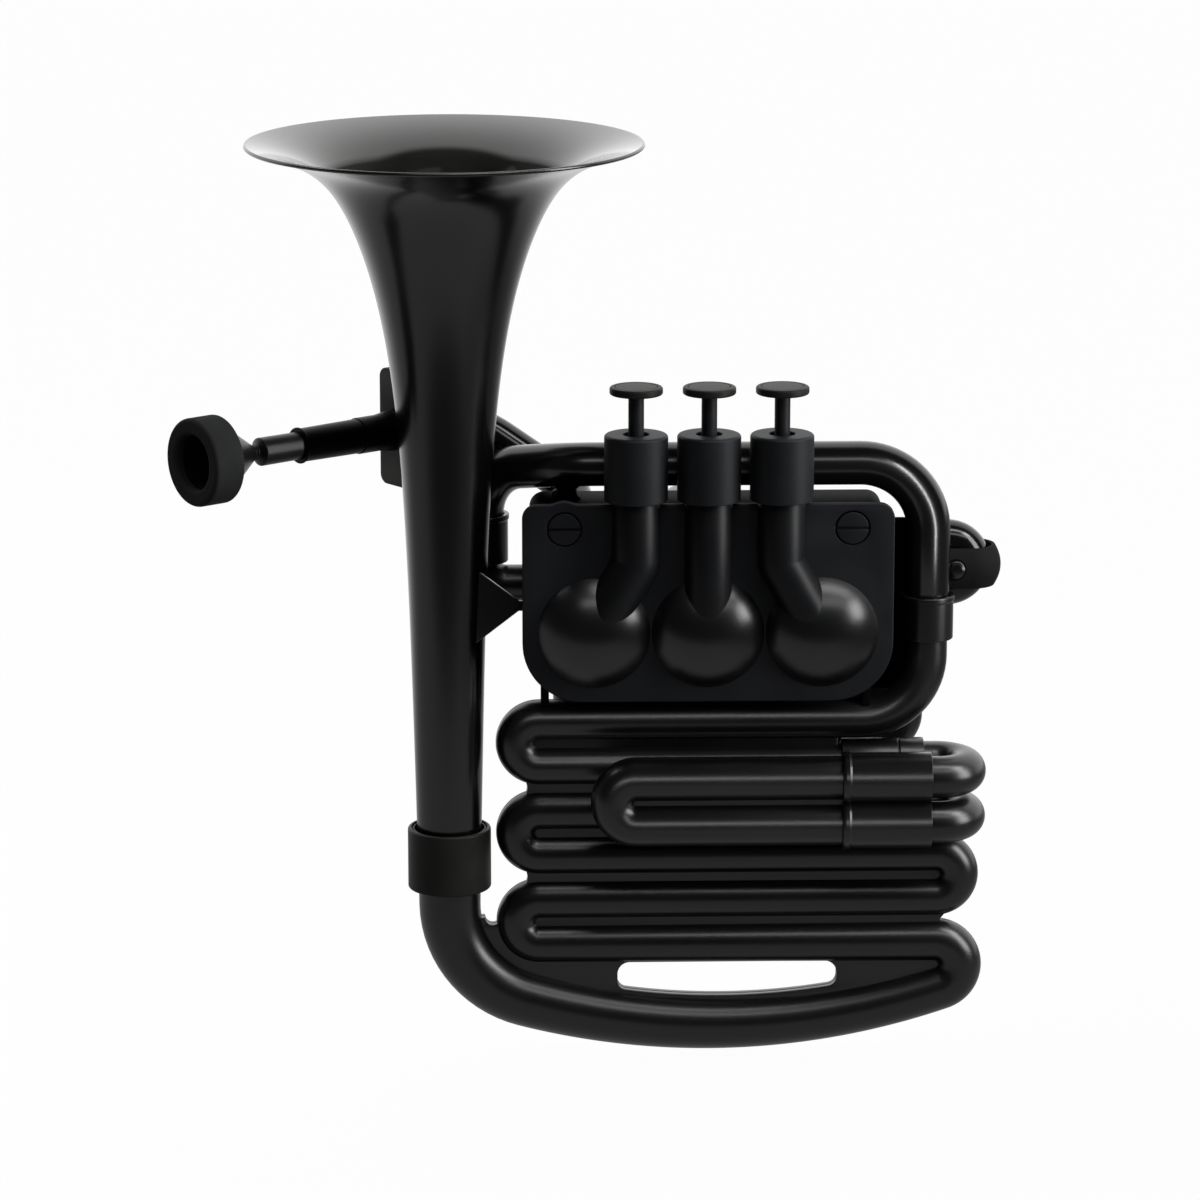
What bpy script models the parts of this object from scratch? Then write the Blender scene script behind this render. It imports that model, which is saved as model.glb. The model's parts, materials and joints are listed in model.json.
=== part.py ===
"""A plastic horn: an upright bell over a stack of folded tube with a hand slot, a block of three push valves
behind a plate with three domes, a hairpin tuning slide, a lead pipe and a mouthpiece.

X runs along the rows of tube, Y from front to back and Z up. The origin is the middle of the hand slot.
"""

import math

import bmesh
import bpy
from mathutils import Vector

MM = 0.001

# Clearances
CLEAR = 0.3 * MM  # between two pieces that touch
RUNNING = 0.5 * MM  # round a rotor
FLOOR_GAP = 0.4 * MM  # behind a rotor
SLOT_PLAY = 0.4 * MM  # over and under a crank pin in its slot
PAST = 1.0 * MM  # how far a cutter reaches past a face
WELD = 0.001 * MM
SAG = 0.4 * MM  # how far a chord may leave its arc
FLAT = math.radians(0.05)  # faces that bend less than this are one face

# Folded tube
ROW_R = 8.2 * MM
ROW_WALL = 2.0 * MM
ROW_PITCH = 18.75 * MM
TOP_ROW_Z = 108.8 * MM
LEFT_TURN_X = -76.2 * MM
RIGHT_TURN_X = 84.3 * MM
ROW_END_X = 57.0 * MM  # where the second and third rows stop, inside the rear double ferrule
LEG_X = 79.5 * MM
LEG_BEND_R = 26.0 * MM
LEG_TOP_Z = 151.0 * MM
LAST_ROW_R = 8.8 * MM  # the sixth row's radius at its right end
LAST_TURN_END_R = 9.5 * MM
BOW_X = -3.0 * MM
BOW_R = 285.0 * MM
BOW_LOW_Z = -19.8 * MM  # the lowest point of its centre line
BOW_CORNER_R = 42.0 * MM
TAIL_R = 12.7 * MM

# Web between the rows
WEB_THICK = 5.0 * MM
WEB_LEFT_X = -83.5 * MM
WEB_RIGHT_X = 90.0 * MM
WEB_STEP_X = 44.0 * MM
NOTCH_X = -95.2 * MM
NOTCH_Z = 23.2 * MM
NOTCH_HALF = 3.2 * MM
SLOT_HALF = 44.6 * MM
SLOT_TOP_Z = 6.9 * MM
SLOT_RIM = 12.4 * MM  # from the bow's centre line to the slot
SLOT_TOP_CORNER_R = 5.0 * MM
SLOT_LOW_CORNER_R = 4.0 * MM
SLOT_LOW_SPAN = 0.86  # the share of its lower curve that its corners leave alone

# Bell and collar
BELL_X = -112.6 * MM
BELL_RIM_Z = 341.0 * MM
BELL_WALL = 1.6 * MM
BELL_TAIL_R = 12.73 * MM
BELL_TAPER = 0.01925
BELL_LIP_RISE = 22.4 * MM
BELL_LIP_FALL = 5.85 * MM
BELL_FLARE_RISE = 37.3 * MM
BELL_FLARE_FALL = 46.7 * MM
BELL_EDGE_ROUND = 0.5 * MM
BELL_RINGS = 12
BELL_SIDES = 28
BELL_SPREAD = 5.0  # how much closer the rings lie at the rim than at the tail
JOINT_Z = 51.8 * MM
COLLAR_R = 16.8 * MM
COLLAR_LOW_Z = 39.2 * MM
COLLAR_TOP_Z = 64.4 * MM
COLLAR_CHAMFER = 0.8 * MM

# Top tube, its ferrules and the elbow
TOP_TUBE_R = 8.75 * MM
TOP_TUBE_WALL = 2.0 * MM
TOP_TUBE_Z = 213.7 * MM
TOP_TUBE_RIGHT_R = 27.6 * MM
TOP_TUBE_SWING_X = -62.0 * MM  # where the tube starts to swing behind the bell
TOP_TUBE_SWING_R = 30.0 * MM
TOP_TUBE_LEFT_R = 22.0 * MM
LEFT_LEG_X = -98.6 * MM
LEFT_LEG_Y = 24.3 * MM
LEFT_LEG_CORNER_Z = 207.0 * MM
FERRULE_R = 10.5 * MM
FERRULE_CHAMFER = 0.5 * MM
FERRULE_LIP = 0.4 * MM
FERRULE_LIP_TALL = 2.2 * MM
RIGHT_FERRULE_LOW_Z = 142.0 * MM
RIGHT_FERRULE_TOP_Z = 160.0 * MM
LEFT_FERRULE_LOW_Z = 169.0 * MM
LEFT_FERRULE_TOP_Z = 188.6 * MM
LEFT_JOINT_Z = 178.7 * MM
ELBOW_R = 7.7 * MM
ELBOW_WALL = 1.8 * MM
ELBOW_Z = 159.3 * MM
ELBOW_BEND_R = 9.5 * MM
ELBOW_PORT_X = -66.0 * MM
SADDLE_LEFT_X = -70.8 * MM
SADDLE_RIGHT_X = -59.3 * MM
SADDLE_HALF_DEEP = 6.0 * MM

# Valve plate
VALVE_MID_X = -9.4 * MM
VALVE_Y = -22.0 * MM
PLATE_LEFT_X = -83.0 * MM
PLATE_RIGHT_X = 64.2 * MM
PLATE_LOW_Z = 121.5 * MM
PLATE_TOP_Z = 201.8 * MM
PLATE_FRONT_Y = -21.6 * MM
PLATE_THICK = 3.6 * MM
PLATE_TOP_CORNER_R = 6.0 * MM
PLATE_LOW_CORNER_R = 24.0 * MM
BUMP_HALF = 6.0 * MM
BUMP_TALL = 1.4 * MM
DOME_PITCH = 45.2 * MM
DOME_Z = 149.8 * MM
DOME_BASE_R = 22.3 * MM
DOME_TALL = 11.0 * MM
DOME_WALL = 2.0 * MM
DOME_WELL_R = 19.4 * MM
DOME_RINGS = 4
DOME_SIDES = 19  # odd, so that no edge of a dome lies along one of its cover
VALVE_PITCH = 28.7 * MM
COVER_R = 9.4 * MM
COVER_WALL = 2.0 * MM
COVER_TOP_Z = 203.6 * MM
COVER_BEND_Z = 178.5 * MM
SCREW_OUT = 56.9 * MM  # from the middle valve to each screw
SCREW_Z = 192.0 * MM
SCREW_HEAD_R = 6.7 * MM
SCREW_HEAD_TALL = 1.9 * MM
SCREW_PROUD = 0.4 * MM
SCREW_CHAMFER = 0.3 * MM
SCREW_SHANK_R = 3.0 * MM
SCREW_LONG = 12.0 * MM  # of its shank
SCREW_SLOT_WIDE = 1.2 * MM
SCREW_SLOT_DEEP = 0.9 * MM

# Valve block
BLOCK_LEFT_X = -79.7 * MM
BLOCK_RIGHT_X = 60.9 * MM
BLOCK_LOW_Z = 124.5 * MM
BLOCK_TOP_Z = 200.5 * MM
BLOCK_REAR_Y = 11.5 * MM
BLOCK_TOP_CORNER_R = 6.0 * MM
BLOCK_LOW_CORNER_R = 22.0 * MM
PORT_DEEP = 5.0 * MM
FOOT_LEFT_X = -73.9 * MM
FOOT_RIGHT_X = 55.1 * MM
FOOT_THICK = 3.2 * MM
FOOT_HALF_DEEP = 6.0 * MM

# Rotors
DRUM_R = 18.5 * MM
DRUM_FRONT_Y = -14.0 * MM
DRUM_REAR_Y = 1.9 * MM
DRUM_SIDES = 16
SPINDLE_R = 3.0 * MM
SPINDLE_REAR_Y = 6.7 * MM
SPINDLE_FRONT_Y = -18.4 * MM
SCALLOP_R = 5.5 * MM
SCALLOP_OUT = 17.0 * MM
CRANK_REST = math.radians(45.0)
CRANK_FRONT_Y = -19.0 * MM
CRANK_THICK = 2.4 * MM
CRANK_HUB_R = 4.4 * MM
CRANK_TIP_R = 2.7 * MM
PIN_R = 1.5 * MM
PIN_FRONT_Y = -24.3 * MM

# Push rods, buttons, caps and springs
TRAVEL = 13.0 * MM  # of a button, which turns its rotor by a quarter
CAP_R = 12.6 * MM
CAP_LOW_Z = 203.9 * MM
CAP_TOP_Z = 230.4 * MM
CAP_BORE_R = 6.0 * MM
CAP_LIP_R = 5.2 * MM  # the lip that stops the stem's collar
CAP_FLOOR = 2.5 * MM
CAP_TOP_CHAMFER = 0.9 * MM
CAP_SIDES = 16
STEM_R = 3.1 * MM
STEM_SIDES = 11
STEM_LOW_Z = 198.0 * MM
STEM_COLLAR_R = 5.7 * MM
STEM_COLLAR_LOW_Z = 226.5 * MM
STEM_COLLAR_TALL = 2.0 * MM
ROD_R = 2.0 * MM
ROD_SIDES = 10
ROD_OUTER_BEND_Z = 189.0 * MM
ROD_MIDDLE_BEND_Z = 166.0 * MM
YOKE_WIDE = 10.5 * MM
YOKE_TALL = 7.8 * MM
YOKE_THICK = 3.0 * MM
BUTTON_R = 10.5 * MM
BUTTON_LOW_Z = 246.3 * MM
BUTTON_TOP_Z = 249.4 * MM
BUTTON_EDGE_R = 0.8 * MM
INLAY_R = 8.3 * MM
INLAY_DEEP = 0.9 * MM
SPRING_R = 4.7 * MM
SPRING_WIRE_R = 0.5 * MM
SPRING_CURLS = 4
CURL_POINTS = 8

# Tuning slide and crooks
SLIDE_R = 8.5 * MM
SLIDE_WALL = 2.0 * MM
SLIDE_Y = -23.0 * MM
SLIDE_TURN_X = -37.8 * MM
SLIDE_END_X = 72.5 * MM
CROOK_R = 8.4 * MM
CROOK_WALL = 2.0 * MM
CROOK_TURN_X = 83.1 * MM
BARREL_LEFT_X = 44.5 * MM
BARREL_RIGHT_X = 80.0 * MM
BARREL_R = 9.85 * MM
BEAD_R = 10.4 * MM
BEAD_LONG = 3.2 * MM
REAR_BARREL_LEFT_X = 45.6 * MM
REAR_BARREL_RIGHT_X = 78.7 * MM
REAR_BARREL_R = 10.0 * MM
GROOVE_X = 68.6 * MM
GROOVE_WIDE = 1.0 * MM
GROOVE_DEEP = 0.5 * MM

# Mouthpiece, receiver and lead pipe, along a line that passes behind the bell
MOUTH_X = -211.3 * MM
MOUTH_Z = 224.0 * MM
MOUTH_TURN = math.radians(38.0)
RING_R = 17.4 * MM
RING_LONG = 13.5 * MM
RING_MOUTH_R = 11.0 * MM
RING_LIP = 4.0 * MM
RING_ROUND = 1.8 * MM
CUP_R = 13.0 * MM
CUP_MOUTH_R = 10.4 * MM
CUP_SHOULDER = 15.0 * MM
CUP_FLOOR = 20.0 * MM
CUP_BOWL_TURN = 1.15  # of the bowl before it meets the throat, in radians
CUP_BOWL_STEPS = 3
NECK_R = 3.4 * MM
NECK_START = 28.0 * MM
NECK_END = 30.0 * MM
SHANK_START = 32.5 * MM
SHANK_R = 5.0 * MM
SHANK_TIP_R = 4.85 * MM
SHANK_END = 63.0 * MM
THROAT_R = 1.8 * MM
THROAT_END_R = 2.6 * MM
RECEIVER_START = 51.0 * MM
RECEIVER_LIP_R = 6.6 * MM
RECEIVER_RING_START = 80.0 * MM
RECEIVER_RING_END = 90.0 * MM
RECEIVER_R = 6.9 * MM
RECEIVER_RING_R = 7.25 * MM
RECEIVER_END_R = 8.25 * MM
RECEIVER_END = 96.7 * MM
RECEIVER_BORE_R = 4.2 * MM
LEAD_R = 8.0 * MM
LEAD_WALL = 1.8 * MM
LEAD_BELL_GAP = 0.85 * MM  # between the lead pipe and the bell in front of it
LEAD_BACK_X = -104.0 * MM
LEAD_BACK_R = 30.0 * MM
LEAD_DOWN_Y = 36.0 * MM
LEAD_DOWN_Z = 196.0 * MM
LEAD_DOWN_R = 12.0 * MM
LEAD_PORT_X = -62.0 * MM
LEAD_PORT_Z = 190.0 * MM
LEAD_STRAIGHT_Y = 22.0 * MM
LEAD_STRAIGHT_R = 10.0 * MM
FLANGE_AT = 103.0 * MM  # along the mouthpiece line
FLANGE_TALL = 47.5 * MM
FLANGE_WIDE = 25.0 * MM
FLANGE_THICK = 4.5 * MM
FLANGE_CORNER_R = 4.0 * MM

# Bell brace
BRACE_FRONT_Y = -10.4 * MM
BRACE_THICK = 2.4 * MM
BRACE_ROOT_X = -106.0 * MM
BRACE_ROOT_LOW_Z = 139.5 * MM
BRACE_ROOT_TALL = 37.5 * MM
BRACE_TIP_X = -84.3 * MM
BRACE_TIP_LOW_Z = 156.3 * MM
BRACE_TIP_TALL = 4.1 * MM

# Valve loops behind the block
LOOP_R = 8.2 * MM
LOOP_Y = 25.0 * MM
LOOP_BEND_R = 12.0 * MM
LOOP_PITCH = 18.75 * MM
LONG_LOOP_LEFT_X = -62.0 * MM
LONG_LOOP_RIGHT_X = -40.0 * MM
LONG_LOOP_PORT_Z = 136.0 * MM
LONG_LOOP_LOW_Z = 94.6 * MM
LONG_LOOP_TURN_X = 62.9 * MM
SHORT_LOOP_Z = 190.0 * MM
SHORT_LOOP_END_Y = 37.0 * MM
SIDE_LOOP_PORT_X = 20.0 * MM
SIDE_LOOP_TOP_Z = 176.4 * MM
SIDE_LOOP_TURN_X = 89.5 * MM
STRAP_THICK = 2.7 * MM
STRAP_STEPS = 10
STRAP_END_X = 84.0 * MM
STRAP_LOW_Z = 157.9 * MM
STRAP_TOP_Z = 176.2 * MM
STUD_X = 93.1 * MM
STUD_Z = 166.6 * MM
STUD_HEAD_R = 3.4 * MM
STUD_HEAD_TALL = 1.4 * MM
STUD_SHANK_R = 1.5 * MM
STUD_CHAMFER = 0.4 * MM

# Facets
CAPSULE_STEPS = 4
BUMP_STEPS = 6
SLOT_STEPS = 6
PIN_SIDES = 8
SCALLOP_SIDES = 10
TUBE_SIDES = 12
LOOP_SIDES = 10
BORE_SIDES = 6
WIRE_SIDES = 6
TURN_SIDES = 16
CORNER_STEP = math.radians(22.5)

# Finishes: base colour, roughness and metallic
SATIN = ("satin", (0.022, 0.023, 0.023), 0.42, 0.0)
SLATE = ("slate", (0.030, 0.032, 0.036), 0.62, 0.0)
GLOSS = ("gloss", (0.012, 0.012, 0.013), 0.12, 0.0)
SHEEN = ("sheen", (0.018, 0.019, 0.020), 0.30, 0.0)
RUBBER = ("rubber", (0.020, 0.020, 0.021), 0.85, 0.0)
STEEL = ("steel", (0.400, 0.400, 0.410), 0.30, 1.0)

FRONT = Vector((0.0, -1.0, 0.0))
UP = Vector((0.0, 0.0, 1.0))
BLOWING = Vector((math.cos(MOUTH_TURN), math.sin(MOUTH_TURN), 0.0))

BOW_Z = BOW_LOW_Z + BOW_R
CRANK_R = TRAVEL / (2.0 * math.sin(CRANK_REST))  # its pin ends as far below its axis as it starts above

PLATE_REAR_Y = PLATE_FRONT_Y + PLATE_THICK
BLOCK_FRONT_Y = PLATE_REAR_Y + CLEAR
PORT_FLOOR_Y = BLOCK_REAR_Y - PORT_DEEP
PORT_END_Y = PORT_FLOOR_Y + CLEAR
CHAMBER_R = DRUM_R + RUNNING
CHAMBER_REAR_Y = DRUM_REAR_Y + FLOOR_GAP
SCREW_XS = (VALVE_MID_X - SCREW_OUT, VALVE_MID_X + SCREW_OUT)
SIDE_LOOP_LOW_Z = SIDE_LOOP_TOP_Z - LOOP_PITCH


def collection(name):
    made = bpy.data.collections.new(name)
    bpy.context.scene.collection.children.link(made)
    return made


for old in list(bpy.data.objects):
    bpy.data.objects.remove(old)
PARTS = collection("plastic_horn")
CUTTERS = collection("cutters")


def linked(name, data):
    """A new object of the horn."""
    made = bpy.data.objects.new(name, data)
    PARTS.objects.link(made)
    return made


def helper(obj):
    """Moves an object that only cuts or joins others to the cutters."""
    if obj.name in PARTS.objects:
        PARTS.objects.unlink(obj)
        CUTTERS.objects.link(obj)
        obj.hide_render = True
        obj.display_type = "WIRE"
    return obj


def freeze(soft_object):
    """A curve or modified mesh as a plain welded mesh in its place, with flat ends in one face."""
    bpy.context.view_layer.update()
    graph = bpy.context.evaluated_depsgraph_get()
    mesh = bpy.data.meshes.new_from_object(soft_object.evaluated_get(graph))
    shape = bmesh.new()
    shape.from_mesh(mesh)
    bmesh.ops.remove_doubles(shape, verts=shape.verts, dist=WELD)
    bmesh.ops.dissolve_limit(shape, angle_limit=FLAT, verts=shape.verts, edges=shape.edges)
    bmesh.ops.recalc_face_normals(shape, faces=shape.faces)
    shape.to_mesh(mesh)
    shape.free()
    name = soft_object.name
    place = soft_object.matrix_world.copy()
    bpy.data.objects.remove(soft_object)
    solid = linked(name, mesh)
    solid.matrix_world = place
    return solid


def smooth(obj, angle=math.radians(40.0)):
    """Shades the round sides smooth and leaves the corners sharp."""
    obj.data.shade_smooth()
    obj.data.set_sharp_from_angle(angle=angle)
    return obj


def combined(part, operation, others):
    for other in others:
        helper(other)
        step = part.modifiers.new(other.name, "BOOLEAN")
        step.operation = operation
        step.solver = "EXACT"
        step.object = other
    return part


def joined(part, *others):
    return combined(part, "UNION", others)


def cut(part, *others):
    return combined(part, "DIFFERENCE", others)


def finished(obj, finish):
    """Gives the object a material of its own."""
    kind, colour, roughness, metallic = finish
    material = bpy.data.materials.new(f"{obj.name}_{kind}")
    material.use_nodes = True
    shader = material.node_tree.nodes["Principled BSDF"]
    shader.inputs["Base Color"].default_value = (*colour, 1.0)
    shader.inputs["Roughness"].default_value = roughness
    shader.inputs["Metallic"].default_value = metallic
    obj.data.materials.clear()
    obj.data.materials.append(material)
    return obj


def roomy(radius, sides):
    """The corner radius of a bore whose flats clear a pin of this radius."""
    return (radius + CLEAR) / math.cos(math.pi / sides)


def arc_angles(radius, start, end):
    step = 2.0 * math.acos(1.0 - SAG / radius)
    count = max(2, math.ceil(abs(end - start) / step))
    return [start + (end - start) * k / count for k in range(count + 1)]


def arc(centre_x, centre_z, radius, start, end):
    """Points of an arc in the plane of the stack."""
    return [
        Vector((centre_x + radius * math.cos(a), 0.0, centre_z + radius * math.sin(a)))
        for a in arc_angles(radius, start, end)
    ]


def rounded_line(corners, radii):
    """The line through the corners, with each inner corner rounded by its radius."""
    points = [Vector(corners[0])]
    for before, corner, after, radius in zip(corners, corners[1:], corners[2:], radii):
        corner = Vector(corner)
        along = (corner - Vector(before)).normalized()
        away = (Vector(after) - corner).normalized()
        angle = along.angle(away)
        inward = (away - along * along.dot(away)).normalized()
        centre = corner - along * radius * math.tan(angle / 2.0) + inward * radius
        for turn in arc_angles(radius, 0.0, angle):
            points.append(centre - inward * radius * math.cos(turn) + along * radius * math.sin(turn))
    points.append(Vector(corners[-1]))
    return points


def graded(points, start, end):
    """Pairs of a point and a radius that changes evenly along the line."""
    lengths = [0.0]
    for a, b in zip(points, points[1:]):
        lengths.append(lengths[-1] + (b - a).length)
    return [(p, start + (end - start) * run / lengths[-1]) for p, run in zip(points, lengths)]


def chained(*runs):
    """One run from several, without the points where they meet twice."""
    whole = []
    for place, radius in (pair for run in runs for pair in run):
        if not whole or (place - whole[-1][0]).length > WELD:
            whole.append((place, radius))
    return whole


def stretched(run, shrink, past):
    """The run with smaller radii, and its ends drawn out past those of the first."""
    inner = [(place, radius - shrink) for place, radius in run]
    for end, neighbour in ((0, 1), (-1, -2)):
        place, radius = inner[end]
        outward = (place - inner[neighbour][0]).normalized()
        inner[end] = (place + outward * past, radius)
    return inner


def tube(name, run, sides, origin=Vector()):
    """A solid tube along a run of points and radii."""
    curve = bpy.data.curves.new(name, "CURVE")
    curve.dimensions = "3D"
    curve.bevel_depth = run[0][1]
    curve.bevel_resolution = (sides - 4) // 2
    curve.use_fill_caps = True
    spline = curve.splines.new("POLY")
    spline.points.add(len(run) - 1)
    for point, (place, radius) in zip(spline.points, run):
        point.co = (*(place - origin), 1.0)
        point.radius = radius / run[0][1]
    made = linked(name, curve)
    made.location = origin
    return smooth(freeze(made))


def pipe(name, run, sides, wall, origin=Vector()):
    """A tube with a bore that is open at both ends."""
    bore = tube(f"{name}_bore", stretched(run, wall, wall), BORE_SIDES)
    return cut(tube(name, run, sides, origin), bore)


def turned(name, profile, origin, direction, sides=TURN_SIDES):
    """A turned piece. Its profile, of radii and heights, runs down its outer side."""
    mesh = bpy.data.meshes.new(name)
    closed = profile[0][0] > 0.0
    edges = [(k, k + 1) for k in range(len(profile) - 1)]
    if closed:
        edges.append((len(profile) - 1, 0))
    mesh.from_pydata([(r, 0.0, z) for r, z in profile], edges, [])
    made = linked(name, mesh)
    made.location = origin
    made.rotation_euler = UP.rotation_difference(direction).to_euler()
    screw = made.modifiers.new("turning", "SCREW")
    screw.axis = "Z"
    screw.steps = sides
    screw.render_steps = sides
    screw.use_merge_vertices = True
    screw.merge_threshold = WELD
    return smooth(freeze(made))


def rod(name, start, end, radius, sides=TUBE_SIDES):
    """A cylinder from one point to the other."""
    along = end - start
    shape = bmesh.new()
    bmesh.ops.create_cone(
        shape, cap_ends=True, segments=sides, radius1=radius, radius2=radius, depth=along.length
    )
    mesh = bpy.data.meshes.new(name)
    shape.to_mesh(mesh)
    shape.free()
    made = linked(name, mesh)
    made.location = (start + end) / 2.0
    made.rotation_euler = UP.rotation_difference(along).to_euler()
    return smooth(made)


def box(name, low, high):
    """A block between two corners."""
    low, high = Vector(low), Vector(high)
    shape = bmesh.new()
    bmesh.ops.create_cube(shape, size=1.0)
    bmesh.ops.scale(shape, verts=shape.verts, vec=high - low)
    mesh = bpy.data.meshes.new(name)
    shape.to_mesh(mesh)
    shape.free()
    made = linked(name, mesh)
    made.location = (low + high) / 2.0
    return made


def slab(name, outline, near, far, facing=FRONT):
    """A flat outline with a thickness. It faces the front, so its points are X and Z, or up, then X and Y."""
    curve = bpy.data.curves.new(name, "CURVE")
    curve.dimensions = "2D"
    curve.fill_mode = "BOTH"
    curve.extrude = abs(far - near) / 2.0
    spline = curve.splines.new("POLY")
    spline.points.add(len(outline) - 1)
    for point, (across, up) in zip(spline.points, outline):
        point.co = (across, up, 0.0, 1.0)
    spline.use_cyclic_u = True
    made = linked(name, curve)
    if facing == FRONT:
        made.rotation_euler = (math.pi / 2.0, 0.0, 0.0)
        made.location = (0.0, (near + far) / 2.0, 0.0)
    else:
        made.location = (0.0, 0.0, (near + far) / 2.0)
    return freeze(made)


def rounded_outline(corners):
    """The outline through corners of X, Z and a rounding radius, which may be zero."""
    points = []
    count = len(corners)
    for k, (x, z, radius) in enumerate(corners):
        corner = Vector((x, z))
        if not radius:
            points.append(corner)
            continue
        along = (corner - Vector(corners[k - 1][:2])).normalized()
        away = (Vector(corners[(k + 1) % count][:2]) - corner).normalized()
        angle = along.angle(away)
        inward = (away - along * along.dot(away)).normalized()
        centre = corner - along * radius * math.tan(angle / 2.0) + inward * radius
        steps = max(1, math.ceil(angle / CORNER_STEP))
        for step in range(steps + 1):
            turn = angle * step / steps
            points.append(centre - inward * radius * math.cos(turn) + along * radius * math.sin(turn))
    return points


def box_outline(left, right, low, top, low_radius, top_radius):
    return rounded_outline(
        [(left, low, low_radius), (right, low, low_radius), (right, top, top_radius), (left, top, top_radius)]
    )


def sleeve(outer, bore_top, bore_low, step_z, low, top, chamfer, lip=0.0):
    """The profile of a ring: a chamfer at each end, an optional lip on top, a bore in one or two sizes."""
    profile = [(outer + lip - chamfer, top), (outer + lip, top - chamfer)]
    if lip:
        profile += [(outer + lip, top - FERRULE_LIP_TALL), (outer, top - FERRULE_LIP_TALL - lip)]
    profile += [(outer, low + chamfer), (outer - chamfer, low), (bore_low, low)]
    if abs(bore_top - bore_low) > WELD:
        profile += [(bore_low, step_z), (bore_top, step_z)]
    return profile + [(bore_top, top)]


# Folded tube


def row_z(row):
    return TOP_ROW_Z - ROW_PITCH * row


def left_turn(row):
    return arc(LEFT_TURN_X, row_z(row) - ROW_PITCH / 2.0, ROW_PITCH / 2.0, math.pi / 2.0, 1.5 * math.pi)


def right_turn(row):
    return arc(RIGHT_TURN_X, row_z(row) - ROW_PITCH / 2.0, ROW_PITCH / 2.0, math.pi / 2.0, -math.pi / 2.0)


def upper_run():
    """From the right leg along the first row, round the left end and back along the second."""
    line = [Vector((LEG_X, 0.0, LEG_TOP_Z))]
    line += arc(LEG_X - LEG_BEND_R, TOP_ROW_Z + LEG_BEND_R, LEG_BEND_R, 0.0, -math.pi / 2.0)
    line += left_turn(0)
    line.append(Vector((ROW_END_X, 0.0, row_z(1))))
    return graded(line, ROW_R, ROW_R)


def bow_run():
    """The last turn, the bow under the hand slot and the corner up to the bell, each tangent to the next."""
    across = RIGHT_TURN_X - BOW_X
    drop = BOW_Z - row_z(5)
    turn_r = (BOW_R**2 - across**2 - drop**2) / (2.0 * (drop + BOW_R))
    start = math.atan2(-(drop + turn_r), across)
    turn = arc(RIGHT_TURN_X, row_z(5) - turn_r, turn_r, math.pi / 2.0, start)
    corner_x = BELL_X + BOW_CORNER_R
    corner_drop = math.sqrt((BOW_R - BOW_CORNER_R) ** 2 - (corner_x - BOW_X) ** 2)
    end = math.atan2(-corner_drop, corner_x - BOW_X)
    bow = arc(BOW_X, BOW_Z, BOW_R, start, end)
    bow += arc(corner_x, BOW_Z - corner_drop, BOW_CORNER_R, end, -math.pi)
    bow.append(Vector((BELL_X, 0.0, JOINT_Z - CLEAR / 2.0)))
    return chained(graded(turn, LAST_ROW_R, LAST_TURN_END_R), graded(bow, LAST_TURN_END_R, TAIL_R))


def lower_run():
    """From the third row down to the sixth, then the bow."""
    rows = [Vector((ROW_END_X, 0.0, row_z(2)))] + left_turn(2) + right_turn(3) + left_turn(4)
    last = [rows[-1], Vector((RIGHT_TURN_X, 0.0, row_z(5)))]
    return chained(graded(rows, ROW_R, ROW_R), graded(last, ROW_R, LAST_ROW_R), bow_run())


def web_outline(bow):
    """The web's outer line. It follows the bow's centre line below, and ends in a notch beside the corner."""
    notch = [
        (NOTCH_X - NOTCH_HALF * math.cos(a), NOTCH_Z + NOTCH_HALF - NOTCH_HALF * math.sin(a))
        for a in (0.0, math.pi / 4.0, math.pi / 2.0, 0.75 * math.pi, math.pi)
    ]
    notch_top = NOTCH_Z + NOTCH_HALF
    below = [(p.x, p.z) for p, _ in bow if p.z < notch_top and p.x < WEB_RIGHT_X]
    right = [
        (WEB_RIGHT_X, row_z(5)),
        (WEB_RIGHT_X, row_z(3)),
        (WEB_STEP_X, row_z(3)),
        (WEB_STEP_X, TOP_ROW_Z),
        (WEB_LEFT_X, TOP_ROW_Z),
        (WEB_LEFT_X, notch_top),
    ]
    return below[::-1] + right + notch[::-1] + [(BELL_X, notch_top)]


def slot_outline():
    """The hand slot, straight above and following the bow below."""
    reach = BOW_R - SLOT_RIM
    ends = [math.acos((side * SLOT_HALF - BOW_X) / reach) for side in (-1.0, 1.0)]
    middle, half = (ends[0] + ends[1]) / 2.0, SLOT_LOW_SPAN * (ends[0] - ends[1]) / 2.0
    angles = [middle + half * (1.0 - 2.0 * k / SLOT_STEPS) for k in range(SLOT_STEPS + 1)]
    curve = [(BOW_X + reach * math.cos(a), BOW_Z - reach * math.sin(a), 0.0) for a in angles]
    low = [BOW_Z - reach * math.sin(a) for a in ends]
    corners = [(-SLOT_HALF, SLOT_TOP_Z, SLOT_TOP_CORNER_R), (-SLOT_HALF, low[0], SLOT_LOW_CORNER_R)]
    corners += curve
    corners += [(SLOT_HALF, low[1], SLOT_LOW_CORNER_R), (SLOT_HALF, SLOT_TOP_Z, SLOT_TOP_CORNER_R)]
    return rounded_outline(corners)


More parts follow.
